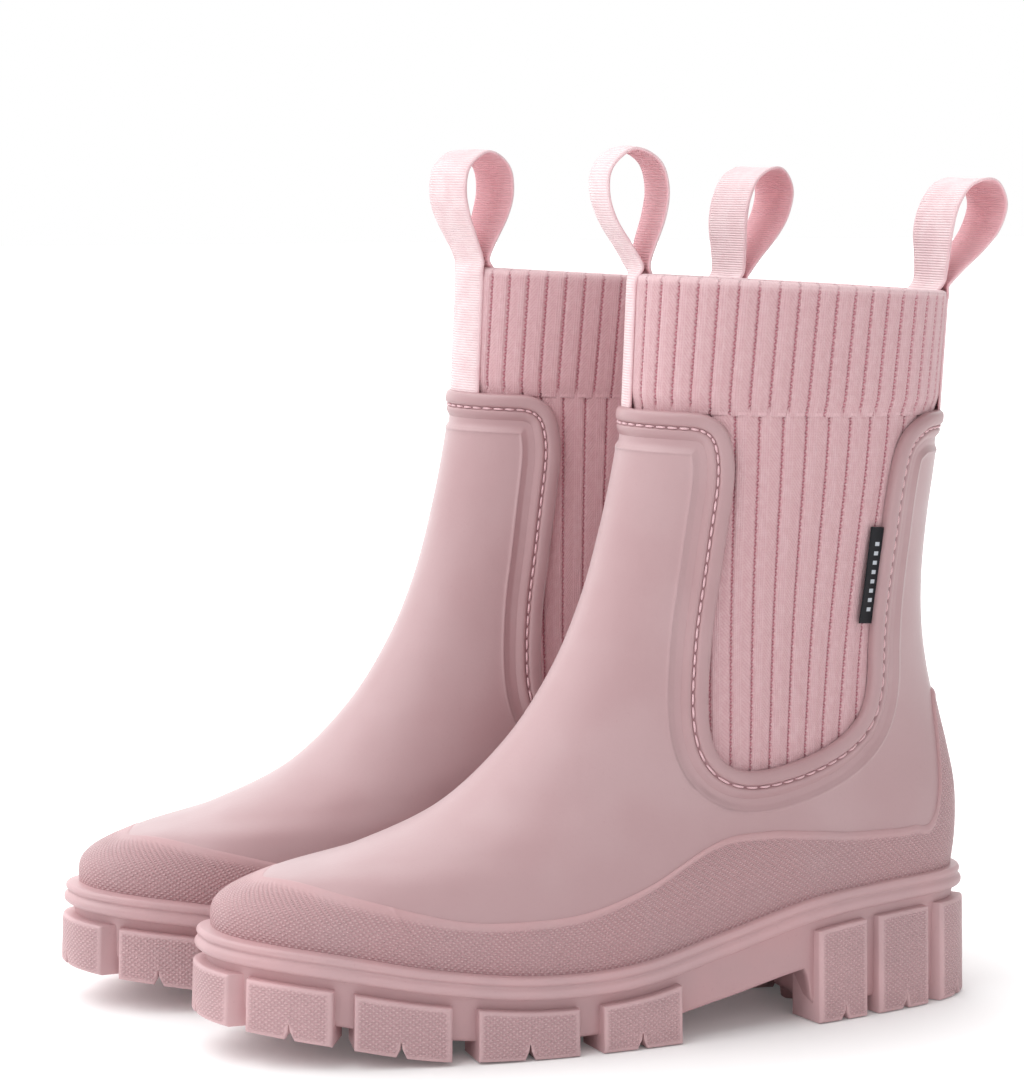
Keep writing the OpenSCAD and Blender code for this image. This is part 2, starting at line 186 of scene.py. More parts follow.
# Pull loops: place round the knit, height, half width, lean towards the heel, and turn of the outer and the
# inner leg towards the outer side; angles in degrees
LOOPS = {
    ("left", "front"): (-14, 42, 11, -7, -12, 2),
    ("right", "front"): (0, 41, 10, 0, -8, -8),
    ("left", "rear"): (180, 41.5, 9.5, 25, 6, 9),
    ("right", "rear"): (180, 44.5, 9.5, 19, -5, -7),
}

# Folded label: LABEL_SEWN is how far it goes in under the lip, measured from its visible edge
LABEL_LENGTH = 35.0
LABEL_WIDTH = 3.9
LABEL_SEWN = -5.2


def smooth(x):
    """Blend from 0 to 1 that starts and ends level."""
    x = np.clip(x, 0, 1)
    return x * x * (3 - 2 * x)


def curve(values, share):
    """Smooth curve through evenly spaced numbers, or rows of numbers, read at shares from 0 to 1."""
    values = np.asarray(values, float)
    rows = values if values.ndim == 2 else values[:, None]
    last = len(rows) - 1
    s = np.clip(np.asarray(share, float), 0, 1) * last
    i = np.minimum(s.astype(int), last - 1)
    f = (s - i)[..., None]
    b = rows[i]
    c = rows[i + 1]
    a = np.where((i == 0)[..., None], 2 * b - c, rows[np.maximum(i - 1, 0)])
    d = np.where((i == last - 1)[..., None], 2 * c - b, rows[np.minimum(i + 2, last)])
    out = b + 0.5 * f * (c - a + f * (2 * a - 5 * b + 4 * c - d + f * (3 * (b - c) + d - a)))
    return out if values.ndim == 2 else out[..., 0]


def along(angle):
    """Share of the way from the toe to the heel."""
    return (1 - np.cos(angle)) / 2


def angle_of(share):
    return np.arccos(1 - 2 * np.clip(share, 0, 1))


def ring_angles(count):
    return np.arange(count) * TURN / count


def unit(vectors):
    return vectors / np.maximum(np.linalg.norm(vectors, axis=-1, keepdims=True), 1e-12)


def spread(*arrays):
    """Numbers or arrays as arrays of one shape."""
    return np.broadcast_arrays(*(np.asarray(array, float) for array in arrays))


def foot_outline(angle):
    t = along(angle)
    shape = np.where(np.sin(angle) >= 0, curve(OUTER_SHAPE, t), curve(INNER_SHAPE, t))
    return np.abs(np.sin(angle)) ** 0.84 * shape


def flatness(u):
    """How flat the shell lies along the front, from 0 upright to 1 level."""
    d = curve(SECTIONS, u + 0.03) - curve(SECTIONS, u - 0.03)
    return d[..., 0] / np.maximum(np.hypot(d[..., 0], d[..., 1]), 1e-9)


def shell(u, angle, inset=0.0):
    """Points on the shell: u is the share of the way up, inset moves them into the boot."""
    u, angle, inset = spread(u, angle, inset)
    s = curve(SECTIONS, u)
    t = along(angle)
    front = s[..., 0] + inset
    back = s[..., 2] - inset
    half = np.where(np.sin(angle) >= 0, s[..., 4], s[..., 5]) - inset
    roundness = smooth(u / 0.55)
    outline = foot_outline(angle) * (1 - roundness) + np.abs(np.sin(angle)) * roundness
    dip = curve(WELT_HEIGHTS, t) - WELT_HEIGHTS[0] - (WELT_HEIGHTS[-1] - WELT_HEIGHTS[0]) * t
    drop = inset * flatness(u) * smooth(u / 0.1) * (1 - roundness) * (1 - t) ** 1.5
    z = s[..., 1] + (s[..., 3] - s[..., 1]) * t + dip * np.clip(1 - u / 0.45, 0, None) ** 1.5 - drop
    return np.stack([np.sign(np.sin(angle)) * half * outline, front + (back - front) * t, z], -1)


def slopes(u, angle):
    """How the shell point moves with u and with the angle."""
    step = 0.003
    low = np.clip(u - step, 0, 1)
    high = np.clip(u + step, 0, 1)
    by_u = (shell(high, angle) - shell(low, angle)) / (high - low)[..., None]
    by_angle = (shell(u, angle + step) - shell(u, angle - step)) / (2 * step)
    return by_u, by_angle


def shell_normal(u, angle):
    u, angle = spread(u, angle)
    by_u, by_angle = slopes(u, angle)
    return unit(np.cross(by_angle, by_u))


def onto_shell(points, u, angle):
    """Share up and angle of the shell points nearest to the given points, from a first guess."""
    for _ in range(4):
        by_u, by_angle = slopes(u, angle)
        gap = points - shell(u, angle)
        uu = (by_u * by_u).sum(-1)
        aa = (by_angle * by_angle).sum(-1)
        ua = (by_u * by_angle).sum(-1)
        gu = (gap * by_u).sum(-1)
        ga = (gap * by_angle).sum(-1)
        det = uu * aa - ua * ua
        u = np.clip(u + (gu * aa - ga * ua) / det, 0, 1)
        angle = angle + (ga * uu - gu * ua) / det
    return u, angle


def guard_top(angle):
    turn = np.mod(angle, TURN) / math.pi
    return curve(GUARD_LINE, np.where(turn <= 1, turn, 2 - turn))


def rim_height(angle):
    return RIM_FRONT[1] + (RIM_BACK[1] - RIM_FRONT[1]) * along(angle)


def knit_point(v, angle, inset=0.0):
    """Points on the knit above the collar, v from the collar to the rim."""
    v, angle, inset = spread(v, angle, inset)
    low = shell(np.ones_like(v), angle, KNIT_INSET + inset)
    half = np.where(np.sin(angle) >= 0, *RIM_HALF_WIDTHS) - inset
    front = RIM_FRONT[0] + inset
    back = RIM_BACK[0] - inset
    high = np.stack([np.sin(angle) * half, front + (back - front) * along(angle), rim_height(angle)], -1)
    return low + (high - low) * v[..., None]


def sole_point(angle, reach, z):
    """Points beside the foot at a height above the ground."""
    reach, angle, z = spread(reach, angle, z)
    points = shell(0, angle, -reach)
    points[..., 2] = z
    return points


# ---------------------------------------------------------------- placing and mesh tools


def boot_place(side):
    """A boot's origin, outward and heelward direction in the row frame, from two of its hinges."""
    hinge = {joint["name"]: np.array(joint.get("pos_m", (0, 0, 0)), float) for joint in frame["joints"]}
    rear = hinge[f"{side}_rear_loop_tilt"]
    heel = unit((rear - hinge[f"{side}_footbed_lift"]) * [1, 1, 0])
    outward = np.array([heel[1], -heel[0], 0]) * SIDES[side]
    origin = (rear - heel * REAR_HINGE_Y * MM) * [1, 1, 0]
    return origin, outward, heel


PLACES = {side: boot_place(side) for side in SIDES}


def to_row(side, points):
    """Points of a boot's own frame, in millimetres, in the row frame, in metres."""
    origin, outward, heel = PLACES[side]
    points = np.asarray(points, float) * MM
    return origin + points[..., :1] * outward + points[..., 1:2] * heel + points[..., 2:] * [0, 0, 1]


def walk(line):
    """Distance walked along a line of points to each of them."""
    return np.concatenate([[0], np.cumsum(np.linalg.norm(np.diff(line, axis=0), axis=-1))])


def walk_round(ring):
    """Distance walked round a ring of points to each of them, and the whole way round."""
    walked = walk(np.concatenate([ring, ring[:1]]))
    return walked[:-1], walked[-1]


def climb(points):
    """Distance walked from row to row of a grid of points, as a mean over its columns."""
    steps = np.linalg.norm(np.diff(points, axis=0), axis=-1).mean(1)
    return np.concatenate([[0], np.cumsum(steps)])


def laid(across, up):
    """Pattern coordinates of a grid, from its millimetres across and up."""
    return np.stack(np.broadcast_arrays(across, up), -1)


def grid(rows, columns, wrap_rows, wrap_columns):
    """Quads of a grid of points numbered row by row, and each corner's row and column, past a seam too."""
    r, c = np.meshgrid(np.arange(rows - 1 + wrap_rows), np.arange(columns - 1 + wrap_columns), indexing="ij")
    corner_rows = np.stack([r, r, r + 1, r + 1], -1).reshape(-1, 4)
    corner_columns = np.stack([c, c + 1, c + 1, c], -1).reshape(-1, 4)
    faces = (corner_rows % rows) * columns + corner_columns % columns
    return faces, corner_rows, corner_columns


def seamed(table, wrap_rows):
    """Pattern coordinates with one more column, and row, past the seam, carrying on at the same step."""
    table = np.concatenate([table, 2 * table[:, -1:] - table[:, -2:-1]], 1)
    if wrap_rows:
        table = np.concatenate([table, 2 * table[-1:] - table[-2:-1]], 0)
    return table


def put_in_scene(name, data):
    obj = bpy.data.objects.new(name, data)
    bpy.context.scene.collection.objects.link(obj)
    return obj


def build(side, name, points, faces, material, pattern=None, marks=None):
    """A smooth-shaded mesh object. pattern: millimetres per face corner; marks: numbers per point."""
    if side == "right":  # its frame is mirrored, so the faces turn round
        faces = faces[:, ::-1]
        pattern = None if pattern is None else pattern[:, ::-1]
    mesh = bpy.data.meshes.new(f"{side}_{name}")
    mesh.from_pydata(to_row(side, points).tolist(), [], faces.tolist())
    if pattern is not None:
        layer = mesh.uv_layers.new(name="pattern")
        layer.data.foreach_set("uv", np.asarray(pattern, np.float32).ravel())
    for key, values in (marks or {}).items():
        attribute = mesh.attributes.new(key, "FLOAT", "POINT")
        attribute.data.foreach_set("value", np.asarray(values, np.float32).ravel())
    mesh.polygons.foreach_set("use_smooth", [True] * len(mesh.polygons))
    mesh.materials.append(material)
    mesh.validate()
    mesh.update()
    return put_in_scene(f"{side}_{name}", mesh)


def build_grid(side, name, points, material, pattern=None, marks=None, wrap_rows=False, keep=slice(None)):
    """A mesh from a grid of points, whose columns run round it; keep says which quads stay."""
    quads, rows, columns = (part[keep] for part in grid(*points.shape[:2], wrap_rows, True))
    used, faces = np.unique(quads, return_inverse=True)
    marks = {key: np.asarray(values).reshape(-1)[used] for key, values in (marks or {}).items()}
    if pattern is not None:
        pattern = seamed(pattern, wrap_rows)[rows, columns]
    return build(side, name, points.reshape(-1, 3)[used], faces.reshape(-1, 4), material, pattern, marks)


def build_strip(side, name, points, material, pattern, marks, *caps):
    """A mesh from rows of points round a strip's section, with end caps, one pattern place per point."""
    quads, _, _ = grid(*points.shape[:2], False, True)
    faces = np.concatenate([quads, *caps])[:, ::-1]
    return build(side, name, points.reshape(-1, 3), faces, material, pattern.reshape(-1, 2)[faces], marks)


def dress(obj, side, slot, *nodes, body="boot"):
    """Replaced CAD nodes and body of a piece; slot is not used."""
    if nodes:
        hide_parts(*[f"{side}_{node}" for node in nodes])
    if body:
        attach(obj, f"{side}_{body}")
    return obj


def bend(obj, side, start, end):
    """Bake a piece's placement into its mesh; start and end, in the boot's own frame, are put in the row
    frame but not used further.
    """
    start, end = to_row(side, [start, end])
    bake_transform(obj)


# ---------------------------------------------------------------- materials


class Nodes:
    """Short way to wire the nodes of a material or a world."""

    def __init__(self, owner, shader="Principled BSDF"):
        owner.use_nodes = True
        self.owner = owner
        self.tree = owner.node_tree
        self.shader = self.tree.nodes[shader]

    def add(self, kind, **settings):
        node = self.tree.nodes.new("ShaderNode" + kind)
        for key, value in settings.items():
            setattr(node, key, value)
        return node

    def put(self, socket, value):
        if isinstance(value, bpy.types.NodeSocket):
            self.tree.links.new(value, socket)
        else:
            socket.default_value = value

    def math(self, operation, a, b=0.0, c=0.0):
        node = self.add("Math", operation=operation)
        for socket, value in zip(node.inputs, (a, b, c)):
            self.put(socket, value)
        return node.outputs[0]

    def times(self, a, b):
        return self.math("MULTIPLY", a, b)

    def scaled(self, value, factor, start):
        return self.math("MULTIPLY_ADD", value, factor, start)

    def less(self, a, b):
        return self.math("SUBTRACT", a, b)

    def apart(self, value, place):
        """How far a number is from a place."""
        return self.math("ABSOLUTE", self.less(value, place))

    def wave(self, value, period):
        """Triangle wave from 0 up to 0.5 and back in each period."""
        return self.math("PINGPONG", self.math("DIVIDE", value, period), 0.5)

    def step(self, value, low, high):
        """0 below low, 1 above high, smooth between; low may be above high."""
        node = self.add("MapRange", interpolation_type="SMOOTHSTEP")
        ends = sorted([(low, 0.0), (high, 1.0)])
        for index, number in enumerate((value, ends[0][0], ends[1][0], ends[0][1], ends[1][1])):
            self.put(node.inputs[index], number)
        return node.outputs["Result"]

    def mix(self, kind, factor, a, b):
        node = self.add("Mix", data_type=kind)
        for name, value in (("Factor", factor), ("A", a), ("B", b)):
            self.put(node.inputs[name], value)
        return node.outputs["Result"]

    def blend(self, factor, a, b):
        return self.mix("RGBA", factor, a, b)

    def over(self, tone, laid_over, amount, share):
        """A tone with another laid over it, by an amount times a share."""
        return self.blend(self.times(amount, share), tone, laid_over)

    def pattern(self):
        """Millimetre coordinates across and up the piece."""
        split = self.add("SeparateXYZ")
        self.put(split.inputs[0], self.add("UVMap", uv_map="pattern").outputs["UV"])
        return split.outputs[0], split.outputs[1]

    def mark(self, name):
        return self.add("Attribute", attribute_name=name).outputs["Fac"]

    def noise(self, size_mm, detail=3.0, rough=0.5, stretch=(1, 1, 1)):
        """Noise over the object's own space, with blobs of about that size."""
        scaled = self.add("Mapping")
        self.put(scaled.inputs["Vector"], self.add("TexCoord").outputs["Object"])
        scaled.inputs["Scale"].default_value = [s / (size_mm * MM) for s in stretch]
        node = self.add("TexNoise")
        self.put(node.inputs["Vector"], scaled.outputs[0])
        for name, value in (("Scale", 1.0), ("Detail", detail), ("Roughness", rough)):
            node.inputs[name].default_value = value
        return node.outputs["Fac"]

    def mottled(self, size_mm, a, b, detail=3.0):
        return self.blend(self.step(self.noise(size_mm, detail), 0.3, 0.7), a, b)

    def bumps(self, *layers):
        """Layers of (height socket, depth in millimetres), one over another, into the shader's normal."""
        last = None
        for height, depth in layers:
            node = self.add("Bump")
            node.inputs["Strength"].default_value = 1.0
            node.inputs["Distance"].default_value = depth * MM
            self.put(node.inputs["Height"], height)
            if last:
                self.put(node.inputs["Normal"], last)
            last = node.outputs["Normal"]
        self.put(self.shader.inputs["Normal"], last)

    def finish(self, tone, roughness, **constants):
        self.put(self.shader.inputs["Base Color"], tone)
        self.put(self.shader.inputs["Roughness"], roughness)
        for key, value in constants.items():
            self.shader.inputs[key.replace("_", " ")].default_value = value
        return self.owner


def material(name):
    return Nodes(bpy.data.materials.new(name))


def colour(red, green, blue):
    """Linear colour from the usual 0-255 numbers."""
    return (*(((v / 255 + 0.055) / 1.055) ** 2.4 for v in (red, green, blue)), 1.0)


PINK = colour(183, 148, 151)
PINK_LIGHT = colour(189, 157, 160)
PINK_DARK = colour(172, 128, 132)
KNIT_PINK = colour(209, 167, 172)
KNIT_PALE = colour(219, 184, 188)
# Deep red-pink painted shade for the grooves between the knit ribs.
KNIT_GROOVE_SHADE = colour(188, 104, 120)
KNURL = 2.3


def rubber_colour(n, base=PINK, light=PINK_LIGHT, dark=PINK_DARK):
    """Moulded pink with slow cloudiness and fine pigment specks."""
    cloud = n.step(n.noise(38, 2), 0.35, 0.68)
    speck = n.step(n.noise(1.1, 2), 0.62, 0.78)
    return n.over(n.over(base, light, cloud, 0.7), dark, speck, 0.16)


def smooth_rubber():
    """Satin shell: nearly even, with mould orange-peel, and a line beside the sunk channel; the sunk channel
    is darkened a little as painted shade.
    """
    n = material("smooth_rubber")
    from_lip = n.mark("edge_distance")
    # Painted shade: the sunk channel beside the lip is darkened a little.
    channel = n.step(from_lip, 14.2, 11.6)
    tone = n.over(rubber_colour(n), PINK_DARK, channel, 0.12)
    ridge = n.math("MAXIMUM", n.less(1.0, n.math("DIVIDE", n.apart(from_lip, RIDGE_AT), 0.9)), 0.0)
    n.bumps((n.noise(1.6, 2), 0.05), (n.noise(22, 1), 0.35), (n.step(ridge, 0.0, 1.0), 0.22))
    rough = n.scaled(n.noise(9), 0.12, 0.36)
    coat = {"Coat_Weight": 0.2, "Coat_Roughness": 0.42}
    return n.finish(tone, rough, Sheen_Weight=0.48, Sheen_Roughness=0.35, **coat)


def shaded_lip_rubber():
    n = material("shaded_lip_rubber")
    # Painted shade: the lip is a darker copy of the shell's pink rubber.
    body = rubber_colour(n, colour(178, 142, 145), colour(184, 150, 153))
    # Painted shade in the stitch groove: the lip turns dark red there.
    tone = n.over(body, colour(136, 84, 92), n.mark("groove"), 0.8)
    n.bumps((n.noise(1.3, 2), 0.05))
    return n.finish(tone, n.scaled(n.noise(5), 0.12, 0.34), Coat_Weight=0.12, Coat_Roughness=0.3)


def diamonds(n, pitch):
    """Height of a diamond knurl, 0 in its grooves and 1 on its points."""
    x, y = n.pattern()
    waves = [n.step(n.wave(n.scaled(y, slant, x), pitch), 0.04, 0.46) for slant in (1.3, -1.3)]
    return n.times(*waves)


def knurled_rubber(name, depth, base):
    """Rubber with a diamond texture where its mark says so; its grooves are darkened as painted shade and its
    points lightened as a painted highlight.
    """
    n = material(name)
    where = n.mark("knurl")
    relief = diamonds(n, KNURL)
    knurl = n.times(relief, where)
    groove = n.times(n.less(1.0, relief), where)
    # Painted shade in the knurl's grooves.
    tone = n.over(rubber_colour(n, base), colour(158, 110, 116), groove, 0.42)
    # Painted highlight on the knurl's points.
    tone = n.over(tone, colour(222, 188, 191), knurl, 0.5)
    tone = n.over(tone, PINK_LIGHT, n.step(n.noise(14, 4), 0.55, 0.75), 0.25)
    n.bumps((n.noise(0.8, 2), 0.03), (knurl, depth))
    return n.finish(tone, n.scaled(n.noise(6), 0.14, 0.4), Coat_Weight=0.06, Coat_Roughness=0.35)


def plain_rubber(name, base, rough_low):
    n = material(name)
    n.bumps((n.noise(1.2), 0.06), (n.noise(12, 1), 0.2))
    rough = n.scaled(n.noise(5), 0.14, rough_low)
    return n.finish(rubber_colour(n, base), rough, Coat_Weight=0.08, Coat_Roughness=0.35)


def rib_knit(name, pitch, course, tick_height=None):
    """Rib knit: zigzag grooves between ribs, each rib half plain wales and half twill; painted shade darkens
    the low loops and the grooves, and a painted highlight lightens the hem fold.
    """
    n = material(name)
    x, y = n.pattern()
    swung = n.scaled(n.less(n.wave(y, course * 2), 0.25), 1.3, x)
    in_rib = n.math("FRACT", n.math("DIVIDE", swung, pitch))
    straight = n.math("FRACT", n.math("DIVIDE", x, pitch))
    from_groove = n.times(n.math("MINIMUM", in_rib, n.less(1.0, in_rib)), pitch)
    bead = n.step(n.wave(y, course), 0.1, 0.42)
    groove_dots = n.times(n.step(from_groove, 0.62, 0.12), n.scaled(bead, 0.55, 0.45))
    twill_side = n.step(straight, 0.5, 0.54)
    loops = n.wave(y, 0.95)
    plain = n.scaled(loops, 0.5, n.times(n.wave(x, 0.86), 1.1))
    twill = n.scaled(loops, 0.4, n.wave(n.scaled(y, 0.75, x), 1.15))
    height = n.mix("FLOAT", twill_side, plain, twill)
    yarn = n.step(n.noise(1.4, stretch=(1, 1, 0.5)), 0.2, 0.85)
    # Painted shade: the low parts of the loops are darkened.
    tone = n.over(n.blend(yarn, KNIT_PINK, KNIT_PALE), colour(194, 140, 148), n.step(height, 0.5, 0.05), 0.42)
    tone = n.over(tone, colour(196, 150, 154), twill_side, 0.16)
    # Painted shade: the grooves between the ribs get a deep red-pink.
    tone = n.over(tone, KNIT_GROOVE_SHADE, groove_dots, 0.92)
    if tick_height:
        tick = n.times(n.step(n.apart(y, tick_height), 0.7, 0.3), n.step(straight, 0.45, 0.5))
        tone = n.over(tone, colour(240, 204, 209), tick, 0.28)
    # Painted highlight: the top of the hem fold is lightened.
    tone = n.over(tone, colour(238, 208, 211), n.mark("hem"), 0.55)
    fuzz = n.noise(0.5, 2)
    n.bumps((n.less(1.0, groove_dots), 0.3), (height, 0.2), (fuzz, 0.07))
    rough = n.scaled(fuzz, 0.15, 0.74)
    return n.finish(tone, rough, Sheen_Weight=0.35, Sheen_Roughness=0.5, Specular_IOR_Level=0.25)


def webbing_weave():
    """Grosgrain: cross ribs with fine warp threads and a smoother selvedge; painted shade darkens between the
    cross ribs, and the loop's inner face gets a deeper pink as painted shade and bounced light.
    """
    n = material("webbing")
    x, y = n.pattern()
    cross = n.step(n.wave(y, 0.95), 0.02, 0.4)
    selvedge = n.step(n.math("ABSOLUTE", x), WEBBING_WIDTH / 2 - 1.3, WEBBING_WIDTH / 2 - 0.9)
    ribs = n.times(cross, n.less(1.0, n.times(selvedge, 0.7)))
    tone = n.mottled(7, colour(238, 210, 213), colour(245, 223, 225))
    # Painted shade and bounced light: the loop's inner face is a deeper pink.
    tone = n.over(tone, colour(244, 184, 192), n.mark("shaded_inner_face"), 0.75)
    # Painted shade between the cross ribs.
    tone = n.over(tone, colour(214, 164, 172), n.less(1.0, ribs), 0.4)
    n.bumps((ribs, 0.16), (n.wave(x, 0.5), 0.05), (n.noise(0.6, 2), 0.04))
    return n.finish(tone, 0.66, Sheen_Weight=0.3, Sheen_Roughness=0.45, Specular_IOR_Level=0.3)


def thread_twist():
    n = material("thread")
    x, y = n.pattern()
    ply = n.wave(n.scaled(y, 0.6, x), 0.5)
    n.bumps((ply, 0.12))
    # Painted shade: the valleys between the plies are darker.
    tone = n.blend(n.step(ply, 0.3, 0.0), colour(240, 206, 210), colour(200, 140, 150))
    return n.finish(tone, 0.55, Sheen_Weight=0.2)


def label_weave():
    """Black woven satin with a generic row of pale bars."""
    n = material("label_fabric")
    x, y = n.pattern()
    weave = n.times(n.wave(x, 0.35), n.wave(y, 0.3))
    row = n.times(n.step(n.apart(y, 0.2), 1.15, 0.9), n.mark("front_face"))
    bars = n.times(n.step(n.wave(x, 3.4), 0.27, 0.31), n.step(n.apart(x, LABEL_LENGTH / 2), 13.6, 13.2))
    tone = n.blend(n.times(weave, 2.0), colour(14, 15, 21), colour(32, 34, 42))
    tone = n.over(tone, colour(206, 212, 220), n.times(row, bars), 0.85)
    n.bumps((weave, 0.12))
    return n.finish(tone, 0.58, Sheen_Weight=0.06, Sheen_Roughness=0.4, Specular_IOR_Level=0.3)


def jersey(name, tone_a, tone_b):
    n = material(name)
    x, y = n.pattern()
    height = n.scaled(n.wave(y, 0.7), 0.7, n.wave(x, 0.9))
    # Painted shade: the low parts of the knit are darkened.
    tone = n.over(n.mottled(6, tone_a, tone_b), colour(168, 112, 120), n.step(height, 0.4, 0.0), 0.4)
    n.bumps((height, 0.14), (n.noise(0.7, 2), 0.05))
    return n.finish(tone, 0.85, Sheen_Weight=0.3, Sheen_Roughness=0.6)


def fibre_board():
    n = material("board")
    fibres = n.noise(1.5, 5, 0.6, stretch=(1, 0.25, 1))
    n.bumps((fibres, 0.2))
    return n.finish(n.blend(n.step(fibres, 0.35, 0.7), colour(186, 156, 132), colour(208, 182, 158)), 0.9)


def white_floor():
    """Matt white that glows a little to the camera, more so away from the boots."""
    n = material("floor")
    far = n.add("VectorMath", operation="LENGTH")
    n.put(far.inputs[0], n.add("TexCoord").outputs["Object"])
    glow = n.scaled(n.step(far.outputs["Value"], 0.12, 0.26), 0.24, 0.06)
    n.put(n.shader.inputs["Emission Strength"], n.times(n.add("LightPath").outputs["Is Camera Ray"], glow))
    tone = n.mottled(900, (0.93, 0.93, 0.93, 1), (0.95, 0.95, 0.95, 1), 2)
    return n.finish(tone, 0.9, Specular_IOR_Level=0.0, Emission_Color=(1, 1, 1, 1))


SMOOTH = smooth_rubber()
LIP = shaded_lip_rubber()
GUARD = knurled_rubber("textured_rubber", 0.42, colour(194, 154, 157))
# Painted light: the lugs get a lighter copy of the mudguard's pink rubber.
LUG_LIT = knurled_rubber("lit_lug_rubber", 0.4, colour(216, 178, 181))
SOLE = plain_rubber("sole_rubber", colour(198, 157, 160), 0.38)
WELT = plain_rubber("welt_rubber", colour(203, 163, 166), 0.34)
WEB = webbing_weave()
THREAD = thread_twist()
LABEL = label_weave()
LINER = jersey("lining_fabric", colour(214, 160, 166), colour(224, 174, 180))
INSOLE = jersey("footbed_foam", colour(218, 172, 176), colour(230, 188, 192))
BOARD = fibre_board()


# ---------------------------------------------------------------- the moulded shell


def collar_line(start, end):
    """Angle and share up along the collar between two angles, without its ends."""
    angle = np.linspace(start, end, 60)[1:-1]
    return np.stack([angle, np.ones_like(angle)], -1)


def opening_line(count=700):
    """Angle and share up along the shell's free edge, closed, in even steps, and the edge's length."""
    edge = curve(OPENING_EDGE, np.linspace(0, 1, 400))
    edge = edge[edge[:, 1] <= 1.0]
    outer = np.stack([angle_of(edge[:, 0]), edge[:, 1]], -1)
    inner = (outer * [-1, 1] + [TURN, 0])[::-1]
    front = collar_line(inner[-1, 0] - TURN, outer[0, 0])
    rear = collar_line(outer[-1, 0], inner[0, 0])
    line = np.concatenate([front, outer, rear, inner])
    line[:, 0] = np.unwrap(line[:, 0])
    line = np.concatenate([line, line[:1] + [TURN, 0]])
    walked = walk(shell(line[:, 1], line[:, 0]))
    even = np.linspace(0, walked[-1], count, endpoint=False)
    line = np.stack([np.interp(even, walked, line[:, k]) for k in (0, 1)], -1)
    line[:, 0] -= ring_angles(count)
    reach = 3
    for _ in range(2):
        line = sum(np.roll(line, k, 0) for k in range(-reach, reach + 1)) / (2 * reach + 1)
    line[:, 0] += ring_angles(count)
    return line[:, 0], line[:, 1], walked[-1]


EDGE_ANGLE, EDGE_UP, EDGE_LENGTH = opening_line()
EDGE_POINTS = shell(EDGE_UP, EDGE_ANGLE)
EDGE_NORMAL = shell_normal(np.minimum(EDGE_UP, 0.985), EDGE_ANGLE)
EDGE_ALONG = unit(np.roll(EDGE_POINTS, -1, 0) - np.roll(EDGE_POINTS, 1, 0))
EDGE_AWAY = unit(np.cross(EDGE_ALONG, EDGE_NORMAL))


def beside_edge(distance, height):
    """Points at distances from the free edge along the shell and heights above it, one row per distance."""
    rows = []
    for d, h in zip(distance, height):
        flat = EDGE_POINTS + EDGE_AWAY * d
        u, angle = onto_shell(flat, EDGE_UP, EDGE_ANGLE)
        near = np.clip(d / 3, 0, 1)
        normal = unit(EDGE_NORMAL * (1 - near) + shell_normal(np.minimum(u, 0.99), angle) * near)
        rows.append((shell(u, angle) if d > 0 else flat) + normal * h)
    return np.array(rows)


def from_edge(points):
    """Distance of each point from the shell's free edge."""
    line = EDGE_POINTS[::2]
    out = np.empty(len(points))
    for start in range(0, len(points), 4000):
        part = points[start:start + 4000]
        out[start:start + 4000] = np.sqrt(((part[:, None] - line[None]) ** 2).sum(-1).min(1))
    return out


def in_opening(share, up):
    """Which places, by share along and share up, lie inside the side opening."""
    outline = curve(OPENING_EDGE, np.linspace(0, 1, 160))
    outline = np.concatenate([outline, [[0.95, 1.6], [0.06, 1.6]]])
    inside = np.zeros(share.shape, bool)
    for (x0, y0), (x1, y1) in zip(outline, np.roll(outline, -1, 0)):
        if y0 == y1:
            continue
        crossing = (y0 > up) != (y1 > up)
        inside ^= crossing & (share < (x1 - x0) * (up - y0) / (y1 - y0) + x0)
    return inside


def add_shell(side):
    """The smooth moulded upper from the mudguard to its free edge, with the sunk channel beside the lip."""
    columns, rows = 700, 190
    angle = ring_angles(columns)[None]
    low = guard_top(angle) * (1 - GUARD_OVERLAP)
    u = low + (1 - low) * np.linspace(0, 1, rows)[:, None]
    angle = np.broadcast_to(angle, u.shape)
    points = shell(u, angle)
    distance = from_edge(points.reshape(-1, 3)).reshape(u.shape)
    sunk = CHANNEL * (1 - smooth((distance - CHANNEL_END) / 1.7))
    ridge = RIDGE * np.exp(-(((distance - RIDGE_AT) / 0.75) ** 2))
    points = points + shell_normal(np.minimum(u, 0.99), angle) * (ridge - sunk)[..., None]
    inside = in_opening(along(angle[:-1] + TURN / columns / 2), (u[:-1] + u[1:]) / 2)
    under_lip = np.minimum(distance[:-1], distance[1:]) <= LIP_COVERS
    keep = ~(inside | under_lip).reshape(-1)
    obj = build_grid(side, "shell", points, SMOOTH, marks={"edge_distance": distance}, keep=keep)
    return dress(obj, side, "smooth_rubber", "upper")


def add_lip(side):
    """The rolled rim round the whole free edge, with the groove that the stitches sit in."""
    profile = curve(LIP_PROFILE, np.linspace(0, 1, 46))[::-1]
    points = beside_edge(profile[:, 0], profile[:, 1])
    # Mark of the stitch groove, where the lip is darkened to a dark red as painted shade.
    groove = np.exp(-((profile[:, 0] - STITCH_AT) / 0.45) ** 2)
    groove = np.broadcast_to(groove[:, None], points.shape[:2])
    obj = build_grid(side, "lip", points, LIP, marks={"groove": groove})
    return dress(obj, side, "smooth_rubber")


